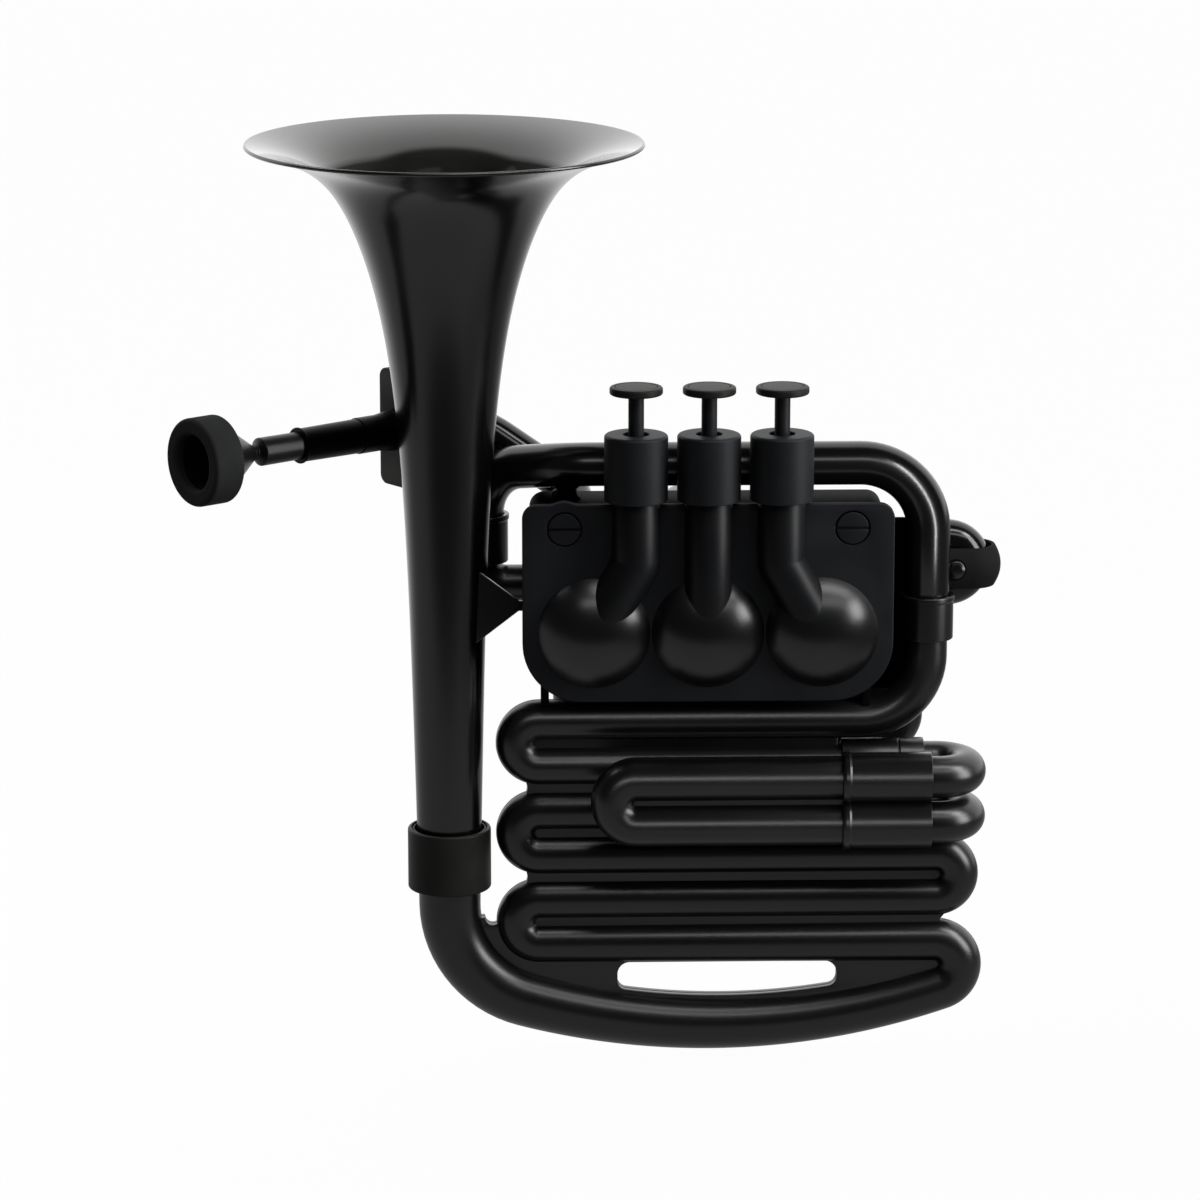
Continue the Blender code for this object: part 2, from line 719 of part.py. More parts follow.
def make_stack():
    """Two half shells with a seam between them, each with its half of every row and of the web."""
    upper, lower = upper_run(), lower_run()
    whole = slab("stack_web", web_outline(bow_run()), -WEB_THICK / 2.0, WEB_THICK / 2.0)
    joined(whole, tube("upper_row_tube", upper, TUBE_SIDES), tube("lower_row_tube", lower, TUBE_SIDES))
    cut(
        whole,
        tube("upper_row_bore", stretched(upper, ROW_WALL, ROW_WALL), BORE_SIDES),
        tube("lower_row_bore", stretched(lower, ROW_WALL, ROW_WALL), BORE_SIDES),
        slab("hand_slot", slot_outline(), -WEB_THICK, WEB_THICK),
    )
    reach = BOW_R
    for name, side in (("stack_front_shell", -1.0), ("stack_rear_shell", 1.0)):
        near, far = sorted((side * CLEAR / 2.0, side * 3.0 * TAIL_R))
        half = box(name, (-reach, near, -reach), (reach, far, reach))
        combined(half, "INTERSECT", [whole])
        finished(half, SATIN)


# Bell


def bell_radius(depth):
    """The bell's outer radius at a depth below its rim."""
    tail = BELL_RIM_Z - JOINT_Z
    lip = BELL_LIP_RISE * math.exp(-depth / BELL_LIP_FALL)
    flare = BELL_FLARE_RISE * math.exp(-depth / BELL_FLARE_FALL)
    return BELL_TAIL_R + BELL_TAPER * (tail - depth) + lip + flare


def bell_profile(grow, wall):
    """The bell's section, with its outer side moved outwards, and no inner side where it has no wall."""
    tail = BELL_RIM_Z - JOINT_Z - CLEAR / 2.0
    outer, inner = [], []
    for k in range(BELL_RINGS + 1):
        share = math.expm1(BELL_SPREAD * k / BELL_RINGS) / math.expm1(BELL_SPREAD)
        depth = tail * share
        slope = (bell_radius(depth + WELD) - bell_radius(depth)) / WELD
        level = 1.0 / math.hypot(1.0, slope)
        radius, height = bell_radius(depth), BELL_RIM_Z - depth
        outer.append((radius + grow * level, height + grow * slope * level))
        inner.append((radius - wall * level, height - wall * slope * level))
    inner[-1] = (inner[-1][0], outer[-1][1])
    return outer, inner


def make_bell():
    outer, inner = bell_profile(0.0, BELL_WALL)
    edge = (outer[0][0] + BELL_EDGE_ROUND, (outer[0][1] + inner[0][1]) / 2.0)
    profile = [edge] + outer + inner[::-1]
    bell = turned("bell", profile, Vector((BELL_X, 0.0, 0.0)), UP, BELL_SIDES)
    finished(bell, SHEEN)
    bore = roomy(bell_radius(BELL_RIM_Z - COLLAR_TOP_Z), TURN_SIDES)
    ring = sleeve(COLLAR_R, bore, bore, JOINT_Z, COLLAR_LOW_Z, COLLAR_TOP_Z, COLLAR_CHAMFER)
    finished(turned("bell_collar", ring, Vector((BELL_X, 0.0, 0.0)), UP), RUBBER)


def bell_room():
    """A solid bell, larger all round by the clearance, for what is saddled on it."""
    outer, _ = bell_profile(CLEAR, BELL_WALL)
    profile = [(0.0, outer[0][1])] + outer + [(0.0, outer[-1][1])]
    return turned("bell_room", profile, Vector((BELL_X, 0.0, 0.0)), UP, BELL_SIDES)


# Top tube


def top_tube_run(extra=0.0):
    corners = [
        (LEG_X, 0.0, LEG_TOP_Z + CLEAR),
        (LEG_X, 0.0, TOP_TUBE_Z),
        (TOP_TUBE_SWING_X, 0.0, TOP_TUBE_Z),
        (LEFT_LEG_X, LEFT_LEG_Y, LEFT_LEG_CORNER_Z),
        (LEFT_LEG_X, LEFT_LEG_Y, LEFT_JOINT_Z),
    ]
    line = rounded_line(corners, [TOP_TUBE_RIGHT_R, TOP_TUBE_SWING_R, TOP_TUBE_LEFT_R])
    return graded(line, TOP_TUBE_R + extra, TOP_TUBE_R + extra)


def make_top_tube():
    finished(pipe("top_tube", top_tube_run(), TUBE_SIDES, TOP_TUBE_WALL), SATIN)
    wide = roomy(TOP_TUBE_R, TURN_SIDES)
    right = sleeve(
        FERRULE_R,
        wide,
        roomy(ROW_R, TURN_SIDES),
        LEG_TOP_Z,
        RIGHT_FERRULE_LOW_Z,
        RIGHT_FERRULE_TOP_Z,
        FERRULE_CHAMFER,
        FERRULE_LIP,
    )
    finished(turned("right_ferrule", right, Vector((LEG_X, 0.0, 0.0)), UP), SATIN)
    left = sleeve(
        FERRULE_R,
        wide,
        roomy(ELBOW_R, TURN_SIDES),
        LEFT_JOINT_Z - CLEAR,
        LEFT_FERRULE_LOW_Z,
        LEFT_FERRULE_TOP_Z,
        FERRULE_CHAMFER,
        FERRULE_LIP,
    )
    finished(turned("left_ferrule", left, Vector((LEFT_LEG_X, LEFT_LEG_Y, 0.0)), UP), SATIN)
    corners = [
        (LEFT_LEG_X, LEFT_LEG_Y, LEFT_JOINT_Z - CLEAR),
        (LEFT_LEG_X, LEFT_LEG_Y, ELBOW_Z),
        (ELBOW_PORT_X, LEFT_LEG_Y, ELBOW_Z),
        (ELBOW_PORT_X, PORT_END_Y, ELBOW_Z),
    ]
    line = rounded_line(corners, [ELBOW_BEND_R, ELBOW_BEND_R])
    finished(pipe("elbow", graded(line, ELBOW_R, ELBOW_R), TUBE_SIDES, ELBOW_WALL), SATIN)
    saddle = box(
        "tube_saddle",
        (SADDLE_LEFT_X, -SADDLE_HALF_DEEP, BLOCK_TOP_Z + CLEAR),
        (SADDLE_RIGHT_X, SADDLE_HALF_DEEP, TOP_TUBE_Z - TOP_TUBE_R / 2.0),
    )
    cut(saddle, tube("top_tube_room", top_tube_run(CLEAR), TUBE_SIDES))
    finished(saddle, SLATE)


# Valves


def valve_x(valve):
    return VALVE_MID_X + (valve - 2) * VALVE_PITCH


def dome_x(valve):
    return VALVE_MID_X + (valve - 2) * DOME_PITCH


def crank_side(valve):
    """Which side of the rotor the crank pin is on: right of it, and left of the third."""
    return -1.0 if valve == 3 else 1.0


def ball_points(radius, centre, last):
    """The profile of a ball from its top down to the last angle."""
    angles = [last * k / DOME_RINGS for k in range(DOME_RINGS + 1)]
    return [(radius * math.sin(a), centre + radius * math.cos(a)) for a in angles]


def dome_profiles():
    """The dome, whose ball goes on into the plate, and the round well behind it."""
    outer_r = (DOME_BASE_R**2 + DOME_TALL**2) / (2.0 * DOME_TALL)
    inner_r = outer_r - DOME_WALL
    centre = DOME_TALL - outer_r
    sunk = -PLATE_THICK / 2.0
    past = -PLATE_THICK - PAST
    dome = ball_points(outer_r, centre, math.acos((sunk - centre) / outer_r)) + [(0.0, sunk)]
    well = ball_points(inner_r, centre, math.asin(DOME_WELL_R / inner_r))
    return dome, well + [(DOME_WELL_R, past), (0.0, past)]


def cover_run(valve, radius, past):
    """The bent cover's line, from the cap down to the middle of the dome."""
    line = [
        Vector((valve_x(valve), VALVE_Y, COVER_TOP_Z + past)),
        Vector((valve_x(valve), VALVE_Y, COVER_BEND_Z)),
        Vector((dome_x(valve), VALVE_Y, DOME_Z)),
    ]
    return graded(line, radius, radius)


def bump_outline(x):
    """The low rise of the plate's top edge over a screw."""
    rise = []
    for k in range(BUMP_STEPS + 1):
        share = k / BUMP_STEPS
        up = BUMP_TALL * (1.0 - math.cos(2.0 * math.pi * share)) / 2.0
        rise.append((x + BUMP_HALF * (1.0 - 2.0 * share), PLATE_TOP_Z + up))
    root_z = PLATE_TOP_Z - BUMP_TALL
    return rise + [(x - BUMP_HALF, root_z), (x + BUMP_HALF, root_z)]


def make_plate():
    """The plate with its three domes and bent covers, hollow from behind."""
    outline = box_outline(
        PLATE_LEFT_X, PLATE_RIGHT_X, PLATE_LOW_Z, PLATE_TOP_Z, PLATE_LOW_CORNER_R, PLATE_TOP_CORNER_R
    )
    plate = slab("valve_plate", outline, PLATE_FRONT_Y, PLATE_REAR_Y)
    rise = slab("plate_bump", bump_outline(SCREW_XS[0]), PLATE_FRONT_Y, PLATE_REAR_Y)
    dome_profile, well_profile = dome_profiles()
    domes, wells, covers, channels = [], [], [], []
    for valve in (1, 2, 3):
        middle = Vector((dome_x(valve), PLATE_FRONT_Y, DOME_Z))
        domes.append(turned(f"dome_{valve}", dome_profile, middle, FRONT, DOME_SIDES))
        wells.append(turned(f"dome_well_{valve}", well_profile, middle, FRONT, DOME_SIDES))
        covers.append(tube(f"cover_{valve}", cover_run(valve, COVER_R, 0.0), TUBE_SIDES))
        run = cover_run(valve, COVER_R - COVER_WALL, PAST)
        channels.append(tube(f"channel_{valve}", run, TUBE_SIDES))
    joined(plate, rise, *domes, *covers)
    behind = box(
        "behind_plate",
        (PLATE_LEFT_X - COVER_R, PLATE_REAR_Y, PLATE_LOW_Z - COVER_R),
        (PLATE_RIGHT_X + COVER_R, PLATE_REAR_Y + 2.0 * COVER_R, COVER_TOP_Z + COVER_R),
    )
    cut(plate, behind, *wells, *channels)
    for side, x in zip(("left", "right"), SCREW_XS):
        seat_y = PLATE_FRONT_Y - SCREW_PROUD + SCREW_HEAD_TALL + CLEAR
        front = Vector((x, PLATE_FRONT_Y - PAST, SCREW_Z))
        seat = Vector((x, seat_y, SCREW_Z))
        rear = Vector((x, PLATE_REAR_Y + PAST, SCREW_Z))
        cut(
            plate,
            rod(f"screw_seat_{side}", front, seat, roomy(SCREW_HEAD_R, TURN_SIDES), TURN_SIDES),
            rod(f"screw_hole_{side}", front, rear, roomy(SCREW_SHANK_R, TUBE_SIDES)),
        )
        make_screw(f"plate_screw_{side}", x)
    finished(plate, SLATE)


def make_screw(name, x):
    """A coin screw whose slot lies level when it holds."""
    head = SCREW_HEAD_TALL
    profile = [
        (0.0, head),
        (SCREW_HEAD_R - SCREW_CHAMFER, head),
        (SCREW_HEAD_R, head - SCREW_CHAMFER),
        (SCREW_HEAD_R, 0.0),
        (SCREW_SHANK_R, 0.0),
        (SCREW_SHANK_R, -SCREW_LONG),
        (0.0, -SCREW_LONG),
    ]
    under = PLATE_FRONT_Y - SCREW_PROUD + head
    screw = turned(name, profile, Vector((x, under, SCREW_Z)), FRONT)
    top = under - head
    reach = SCREW_HEAD_R + PAST
    cut(
        screw,
        box(
            f"{name}_slot",
            (x - reach, top - PAST, SCREW_Z - SCREW_SLOT_WIDE / 2.0),
            (x + reach, top + SCREW_SLOT_DEEP, SCREW_Z + SCREW_SLOT_WIDE / 2.0),
        ),
    )
    finished(screw, SLATE)


def port_places():
    """X, Z and tube radius of each tube that enters the block from behind."""
    return [
        (LEAD_PORT_X, LEAD_PORT_Z, LEAD_R),
        (ELBOW_PORT_X, ELBOW_Z, ELBOW_R),
        (LONG_LOOP_LEFT_X, LONG_LOOP_PORT_Z, LOOP_R),
        (LONG_LOOP_RIGHT_X, LONG_LOOP_PORT_Z, LOOP_R),
        (VALVE_MID_X - LOOP_PITCH / 2.0, SHORT_LOOP_Z, LOOP_R),
        (VALVE_MID_X + LOOP_PITCH / 2.0, SHORT_LOOP_Z, LOOP_R),
        (SIDE_LOOP_PORT_X, SIDE_LOOP_TOP_Z, LOOP_R),
        (SIDE_LOOP_PORT_X, SIDE_LOOP_LOW_Z, LOOP_R),
    ]


def block_outline(grow=0.0):
    return box_outline(
        BLOCK_LEFT_X - grow,
        BLOCK_RIGHT_X + grow,
        BLOCK_LOW_Z - grow,
        BLOCK_TOP_Z + grow,
        BLOCK_LOW_CORNER_R + grow,
        BLOCK_TOP_CORNER_R + grow,
    )


def make_block():
    """The block with a chamber and a spindle hole for each rotor, and a socket for each tube."""
    block = slab("valve_block", block_outline(), BLOCK_FRONT_Y, BLOCK_REAR_Y)
    front_y = BLOCK_FRONT_Y - PAST
    for valve in (1, 2, 3):
        front = Vector((dome_x(valve), front_y, DOME_Z))
        back = Vector((dome_x(valve), CHAMBER_REAR_Y, DOME_Z))
        tip = Vector((dome_x(valve), SPINDLE_REAR_Y + CLEAR, DOME_Z))
        cut(
            block,
            rod(f"chamber_{valve}", front, back, CHAMBER_R / math.cos(math.pi / DRUM_SIDES), DRUM_SIDES),
            rod(f"spindle_hole_{valve}", front, tip, roomy(SPINDLE_R, TUBE_SIDES)),
        )
    for side, x in zip(("left", "right"), SCREW_XS):
        tip_y = PLATE_FRONT_Y - SCREW_PROUD + SCREW_HEAD_TALL + SCREW_LONG + CLEAR
        front = Vector((x, front_y, SCREW_Z))
        tip = Vector((x, tip_y, SCREW_Z))
        cut(block, rod(f"thread_hole_{side}", front, tip, roomy(SCREW_SHANK_R, TUBE_SIDES)))
    for number, (x, z, radius) in enumerate(port_places()):
        rear = Vector((x, BLOCK_REAR_Y + PAST, z))
        cut(block, rod(f"port_{number}", Vector((x, PORT_FLOOR_Y, z)), rear, roomy(radius, TUBE_SIDES)))
    finished(block, SATIN)
    room = slab("block_room", block_outline(CLEAR), BLOCK_FRONT_Y - CLEAR, BLOCK_REAR_Y + CLEAR)
    tubes = tube("upper_row_room", [(p, r + CLEAR) for p, r in upper_run()], TUBE_SIDES)
    for side, x in (("left", FOOT_LEFT_X), ("right", FOOT_RIGHT_X)):
        foot = box(
            f"block_foot_{side}",
            (x - FOOT_THICK / 2.0, -FOOT_HALF_DEEP, TOP_ROW_Z + ROW_R / 2.0),
            (x + FOOT_THICK / 2.0, FOOT_HALF_DEEP, BLOCK_LOW_Z + BLOCK_LOW_CORNER_R),
        )
        cut(foot, room, tubes)
        finished(foot, SATIN)


def capsule(start, start_r, end, end_r):
    """The outline of a bar with two round ends."""
    heading = math.atan2(end.y - start.y, end.x - start.x)
    outline = []
    for middle, radius, first in ((end, end_r, -math.pi / 2.0), (start, start_r, math.pi / 2.0)):
        for k in range(CAPSULE_STEPS + 1):
            a = heading + first + math.pi * k / CAPSULE_STEPS
            outline.append((middle.x + radius * math.cos(a), middle.y + radius * math.sin(a)))
    return outline


def make_rotor(valve):
    """A drum with two air channels, its spindle, and the crank with its pin."""
    profile = [
        (0.0, -SPINDLE_FRONT_Y),
        (SPINDLE_R, -SPINDLE_FRONT_Y),
        (SPINDLE_R, -DRUM_FRONT_Y),
        (DRUM_R, -DRUM_FRONT_Y),
        (DRUM_R, -DRUM_REAR_Y),
        (SPINDLE_R, -DRUM_REAR_Y),
        (SPINDLE_R, -SPINDLE_REAR_Y),
        (0.0, -SPINDLE_REAR_Y),
    ]
    rotor = turned(f"valve_rotor_{valve}", profile, Vector((dome_x(valve), 0.0, DOME_Z)), FRONT, DRUM_SIDES)
    hub = Vector((dome_x(valve), DOME_Z))
    pin = hub + CRANK_R * Vector((crank_side(valve) * math.cos(CRANK_REST), math.sin(CRANK_REST)))
    arm = slab(
        f"crank_{valve}",
        capsule(hub, CRANK_HUB_R, pin, CRANK_TIP_R),
        CRANK_FRONT_Y,
        CRANK_FRONT_Y + CRANK_THICK,
    )
    inside = Vector((pin.x, CRANK_FRONT_Y + CRANK_THICK / 2.0, pin.y))
    tip = Vector((pin.x, PIN_FRONT_Y, pin.y))
    joined(rotor, arm, rod(f"crank_pin_{valve}", inside, tip, PIN_R, PIN_SIDES))
    middle_y = (DRUM_FRONT_Y + DRUM_REAR_Y) / 2.0
    for side, out in (("left", -SCALLOP_OUT), ("right", SCALLOP_OUT)):
        x = dome_x(valve) + out
        low = Vector((x, middle_y, DOME_Z - DRUM_R))
        high = Vector((x, middle_y, DOME_Z + DRUM_R))
        cut(rotor, rod(f"scallop_{valve}_{side}", low, high, SCALLOP_R, SCALLOP_SIDES))
    finished(rotor, SATIN)
    return rotor


def make_stem(valve):
    """The push rod under a button, bent over to a yoke with a level slot for the crank pin."""
    x = valve_x(valve)
    collar_top = STEM_COLLAR_LOW_Z + STEM_COLLAR_TALL
    top = BUTTON_LOW_Z - CLEAR
    profile = [
        (0.0, top),
        (STEM_R, top),
        (STEM_R, collar_top),
        (STEM_COLLAR_R, collar_top),
        (STEM_COLLAR_R, STEM_COLLAR_LOW_Z),
        (STEM_R, STEM_COLLAR_LOW_Z),
        (STEM_R, STEM_LOW_Z),
        (0.0, STEM_LOW_Z),
    ]
    stem = turned(f"valve_stem_{valve}", profile, Vector((x, VALVE_Y, 0.0)), UP, STEM_SIDES)
    side = crank_side(valve)
    near, far = CRANK_R * math.cos(CRANK_REST), CRANK_R
    slot_x = dome_x(valve) + side * (near + far) / 2.0
    slot_z = DOME_Z + CRANK_R * math.sin(CRANK_REST)
    bend_z = ROD_MIDDLE_BEND_Z if valve == 2 else ROD_OUTER_BEND_Z
    line = [
        Vector((x, VALVE_Y, STEM_LOW_Z + STEM_R)),
        Vector((x, VALVE_Y, bend_z)),
        Vector((slot_x, VALVE_Y, slot_z + YOKE_TALL / 2.0 - ROD_R / 2.0)),
    ]
    push = tube(f"push_rod_{valve}", graded(line, ROD_R, ROD_R), ROD_SIDES)
    yoke = box(
        f"yoke_{valve}",
        (slot_x - YOKE_WIDE / 2.0, VALVE_Y - YOKE_THICK / 2.0, slot_z - YOKE_TALL / 2.0),
        (slot_x + YOKE_WIDE / 2.0, VALVE_Y + YOKE_THICK / 2.0, slot_z + YOKE_TALL / 2.0),
    )
    joined(stem, push, yoke)
    half_long = (far - near) / 2.0 + PIN_R + SLOT_PLAY
    half_tall = PIN_R + SLOT_PLAY
    slot = box(
        f"yoke_slot_{valve}",
        (slot_x - half_long, VALVE_Y - YOKE_THICK, slot_z - half_tall),
        (slot_x + half_long, VALVE_Y + YOKE_THICK, slot_z + half_tall),
    )
    cut(stem, slot)
    finished(stem, SLATE)
    return stem


def make_button(valve):
    """A round button with a disc set in its top."""
    place = Vector((valve_x(valve), VALVE_Y, 0.0))
    well = BUTTON_TOP_Z - INLAY_DEEP
    rim = roomy(INLAY_R, TURN_SIDES)
    profile = [
        (0.0, well),
        (rim, well),
        (rim, BUTTON_TOP_Z),
        (BUTTON_R - BUTTON_EDGE_R, BUTTON_TOP_Z),
        (BUTTON_R, BUTTON_TOP_Z - BUTTON_EDGE_R),
        (BUTTON_R, BUTTON_LOW_Z + BUTTON_EDGE_R),
        (BUTTON_R - BUTTON_EDGE_R, BUTTON_LOW_Z),
        (0.0, BUTTON_LOW_Z),
    ]
    button = finished(turned(f"button_{valve}", profile, place, UP), SLATE)
    disc = [(0.0, BUTTON_TOP_Z), (INLAY_R, BUTTON_TOP_Z), (INLAY_R, well + CLEAR), (0.0, well + CLEAR)]
    inlay = finished(turned(f"button_inlay_{valve}", disc, place, UP), SHEEN)
    return [button, inlay]


def make_cap(valve):
    """The casing cap that guides the stem, holds its spring and stops its collar."""
    floor = CAP_LOW_Z + CAP_FLOOR
    lip = STEM_COLLAR_LOW_Z + STEM_COLLAR_TALL + CLEAR
    bore = roomy(STEM_R, CAP_SIDES)
    profile = [
        (CAP_R - CAP_TOP_CHAMFER, CAP_TOP_Z),
        (CAP_R, CAP_TOP_Z - CAP_TOP_CHAMFER),
        (CAP_R, CAP_LOW_Z),
        (bore, CAP_LOW_Z),
        (bore, floor),
        (CAP_BORE_R, floor),
        (CAP_BORE_R, lip),
        (CAP_LIP_R, lip),
        (CAP_LIP_R, CAP_TOP_Z),
    ]
    place = Vector((valve_x(valve), VALVE_Y, 0.0))
    finished(turned(f"casing_cap_{valve}", profile, place, UP, CAP_SIDES), SLATE)


def spring_line(low, high):
    """A wire that stands up for its own thickness, winds its curls, and stands up again."""
    wire = 2.0 * SPRING_WIRE_R
    start, end = low + wire, high - wire
    count = SPRING_CURLS * CURL_POINTS
    line = [Vector((SPRING_R, 0.0, low))]
    for k in range(count + 1):
        a = 2.0 * math.pi * k / CURL_POINTS
        height = start + (end - start) * k / count
        line.append(Vector((SPRING_R * math.cos(a), SPRING_R * math.sin(a), height)))
    line.append(Vector((SPRING_R, 0.0, high)))
    return line


def least_self_gap(line, wire, apart):
    """The least gap between points of the wire that are this many points apart or more."""
    gaps = [(line[b] - line[a]).length for a in range(len(line)) for b in range(a + apart, len(line))]
    return min(gaps) - wire


def make_spring(valve):
    low = CAP_LOW_Z + CAP_FLOOR + CLEAR
    high = STEM_COLLAR_LOW_Z - CLEAR
    line = spring_line(low, high)
    origin = Vector((valve_x(valve), VALVE_Y, 0.0))
    gap = least_self_gap(line[1:-1], 2.0 * SPRING_WIRE_R, CURL_POINTS // 2)
    print(f"return_spring_{valve}: least gap to itself {gap / MM:.2f} mm")
    run = [(origin + p, SPRING_WIRE_R) for p in line]
    finished(tube(f"return_spring_{valve}", run, WIRE_SIDES, origin), STEEL)


def make_valves():
    for valve in (1, 2, 3):
        make_cap(valve)
        make_spring(valve)
        rotor = make_rotor(valve)
        hung(f"rotor_{valve}_axis", rotor.location, [rotor])
        pushed = [make_stem(valve)] + make_button(valve)
        hung(f"button_{valve}_axis", (valve_x(valve), VALVE_Y, BUTTON_LOW_Z), pushed)


def hung(name, place, pieces):
    """Parents the pieces of one moving body to an empty on its joint's axis."""
    axis = linked(name, None)
    axis.location = place
    bpy.context.view_layer.update()
    for piece in pieces:
        piece.parent = axis
        piece.matrix_parent_inverse = axis.matrix_world.inverted()


# Tuning slide


def slide_rows():
    return row_z(1), row_z(2)


def double_ferrule(name, y, profile_of, bores):
    """Two sleeves side by side, made one, with a bore through each."""
    upper, lower = slide_rows()
    along = Vector((1.0, 0.0, 0.0))
    ferrule = turned(name, profile_of(), Vector((0.0, y, upper)), along, TURN_SIDES)
    joined(ferrule, turned(f"{name}_lower", profile_of(), Vector((0.0, y, lower)), along, TURN_SIDES))
    for z in (upper, lower):
        for number, (start, end, radius) in enumerate(bores):
            bore = rod(
                f"{name}_bore_{number}_{'upper' if z == upper else 'lower'}",
                Vector((start, y, z)),
                Vector((end, y, z)),
                roomy(radius, TURN_SIDES),
                TURN_SIDES,
            )
            cut(ferrule, bore)
    finished(ferrule, SATIN)


def front_barrel():
    """A barrel with a bead at its left end."""
    bead_end = BARREL_LEFT_X + BEAD_LONG
    return [
        (0.0, BARREL_RIGHT_X),
        (BARREL_R, BARREL_RIGHT_X),
        (BARREL_R, bead_end),
        (BEAD_R, bead_end - FERRULE_CHAMFER),
        (BEAD_R, BARREL_LEFT_X + FERRULE_CHAMFER),
        (BARREL_R, BARREL_LEFT_X),
        (0.0, BARREL_LEFT_X),
    ]


def rear_barrel():
    """A barrel with a groove near its right end."""
    half = GROOVE_WIDE / 2.0
    return [
        (0.0, REAR_BARREL_RIGHT_X),
        (REAR_BARREL_R, REAR_BARREL_RIGHT_X),
        (REAR_BARREL_R, GROOVE_X + half),
        (REAR_BARREL_R - GROOVE_DEEP, GROOVE_X),
        (REAR_BARREL_R, GROOVE_X - half),
        (REAR_BARREL_R, REAR_BARREL_LEFT_X),
        (0.0, REAR_BARREL_LEFT_X),
    ]


def make_slide():
    """The hairpin that slides to tune, and the two crooks that lead it to the second and third rows."""
    upper, lower = slide_rows()
    half = (upper - lower) / 2.0
    origin = Vector((SLIDE_TURN_X, SLIDE_Y, (upper + lower) / 2.0))
    corners = [
        (SLIDE_END_X, SLIDE_Y, upper),
        (SLIDE_TURN_X - half, SLIDE_Y, upper),
        (SLIDE_TURN_X - half, SLIDE_Y, lower),
        (SLIDE_END_X, SLIDE_Y, lower),
    ]
    line = rounded_line(corners, [half, half])
    run = chained(graded(line, SLIDE_R, SLIDE_R))
    hairpin = finished(pipe("front_hairpin", run, TUBE_SIDES, SLIDE_WALL, origin), SATIN)
    hung("tuning_slide_axis", origin, [hairpin])
    split = (SLIDE_END_X + CLEAR, BARREL_RIGHT_X + PAST, CROOK_R)
    double_ferrule(
        "front_double_ferrule",
        SLIDE_Y,
        front_barrel,
        [(BARREL_LEFT_X - PAST, SLIDE_END_X + 2.0 * CLEAR, SLIDE_R), split],
    )
    double_ferrule(
        "rear_double_ferrule",
        0.0,
        rear_barrel,
        [(REAR_BARREL_LEFT_X - PAST, REAR_BARREL_RIGHT_X + PAST, CROOK_R)],
    )
    bend = -SLIDE_Y / 2.0
    for name, z in (("upper_crook", upper), ("lower_crook", lower)):
        corners = [
            (SLIDE_END_X + 2.0 * CLEAR, SLIDE_Y, z),
            (CROOK_TURN_X + bend, SLIDE_Y, z),
            (CROOK_TURN_X + bend, 0.0, z),
            (ROW_END_X + CLEAR, 0.0, z),
        ]
        run = chained(graded(rounded_line(corners, [bend, bend]), CROOK_R, CROOK_R))
        finished(pipe(name, run, TUBE_SIDES, CROOK_WALL), SATIN)


# Mouthpiece and lead pipe


def on_line(distance):
    """The point at this distance along the mouthpiece line, which passes just behind the bell."""
    aside = bell_radius(BELL_RIM_Z - MOUTH_Z) + LEAD_BELL_GAP + LEAD_R
    across = Vector((-BLOWING.y, BLOWING.x, 0.0))
    nearest = Vector((BELL_X, 0.0, MOUTH_Z)) + across * aside
    start = nearest + BLOWING * (MOUTH_X - nearest.x) / BLOWING.x
    return start + BLOWING * distance


def make_mouthpiece():
    """A soft ring over the end of a cup with a shank, which pulls out of the receiver."""
    back = -1.0 * BLOWING
    mouth = on_line(0.0)
    seat = roomy(CUP_R, TURN_SIDES)
    ring_profile = [
        (RING_R - RING_ROUND, 0.0),
        (RING_R, -RING_ROUND),
        (RING_R, RING_ROUND - RING_LONG),
        (RING_R - RING_ROUND, -RING_LONG),
        (seat, -RING_LONG),
        (seat, -RING_LIP),
        (RING_MOUTH_R, -RING_LIP),
        (RING_MOUTH_R, -RING_ROUND),
        (RING_MOUTH_R + RING_ROUND, 0.0),
    ]
    ring = finished(turned("mouthpiece_rim", ring_profile, mouth, back), RUBBER)
    face = RING_LIP + CLEAR
    turns = [CUP_BOWL_TURN * k / CUP_BOWL_STEPS for k in range(CUP_BOWL_STEPS + 1)]
    hollow = [(CUP_MOUTH_R * math.cos(a), -face - (CUP_FLOOR - face) * math.sin(a)) for a in turns]
    cup_profile = [
        (CUP_R, -face),
        (CUP_R, -CUP_SHOULDER),
        (NECK_R, -NECK_START),
        (NECK_R, -NECK_END),
        (SHANK_R, -SHANK_START),
        (SHANK_TIP_R, -SHANK_END),
        (THROAT_END_R, -SHANK_END),
        (THROAT_R, -CUP_FLOOR - PAST),
        *hollow[::-1],
    ]
    cup = finished(turned("mouthpiece_cup", cup_profile, mouth, back), SHEEN)
    hung("mouthpiece_axis", mouth, [ring, cup])


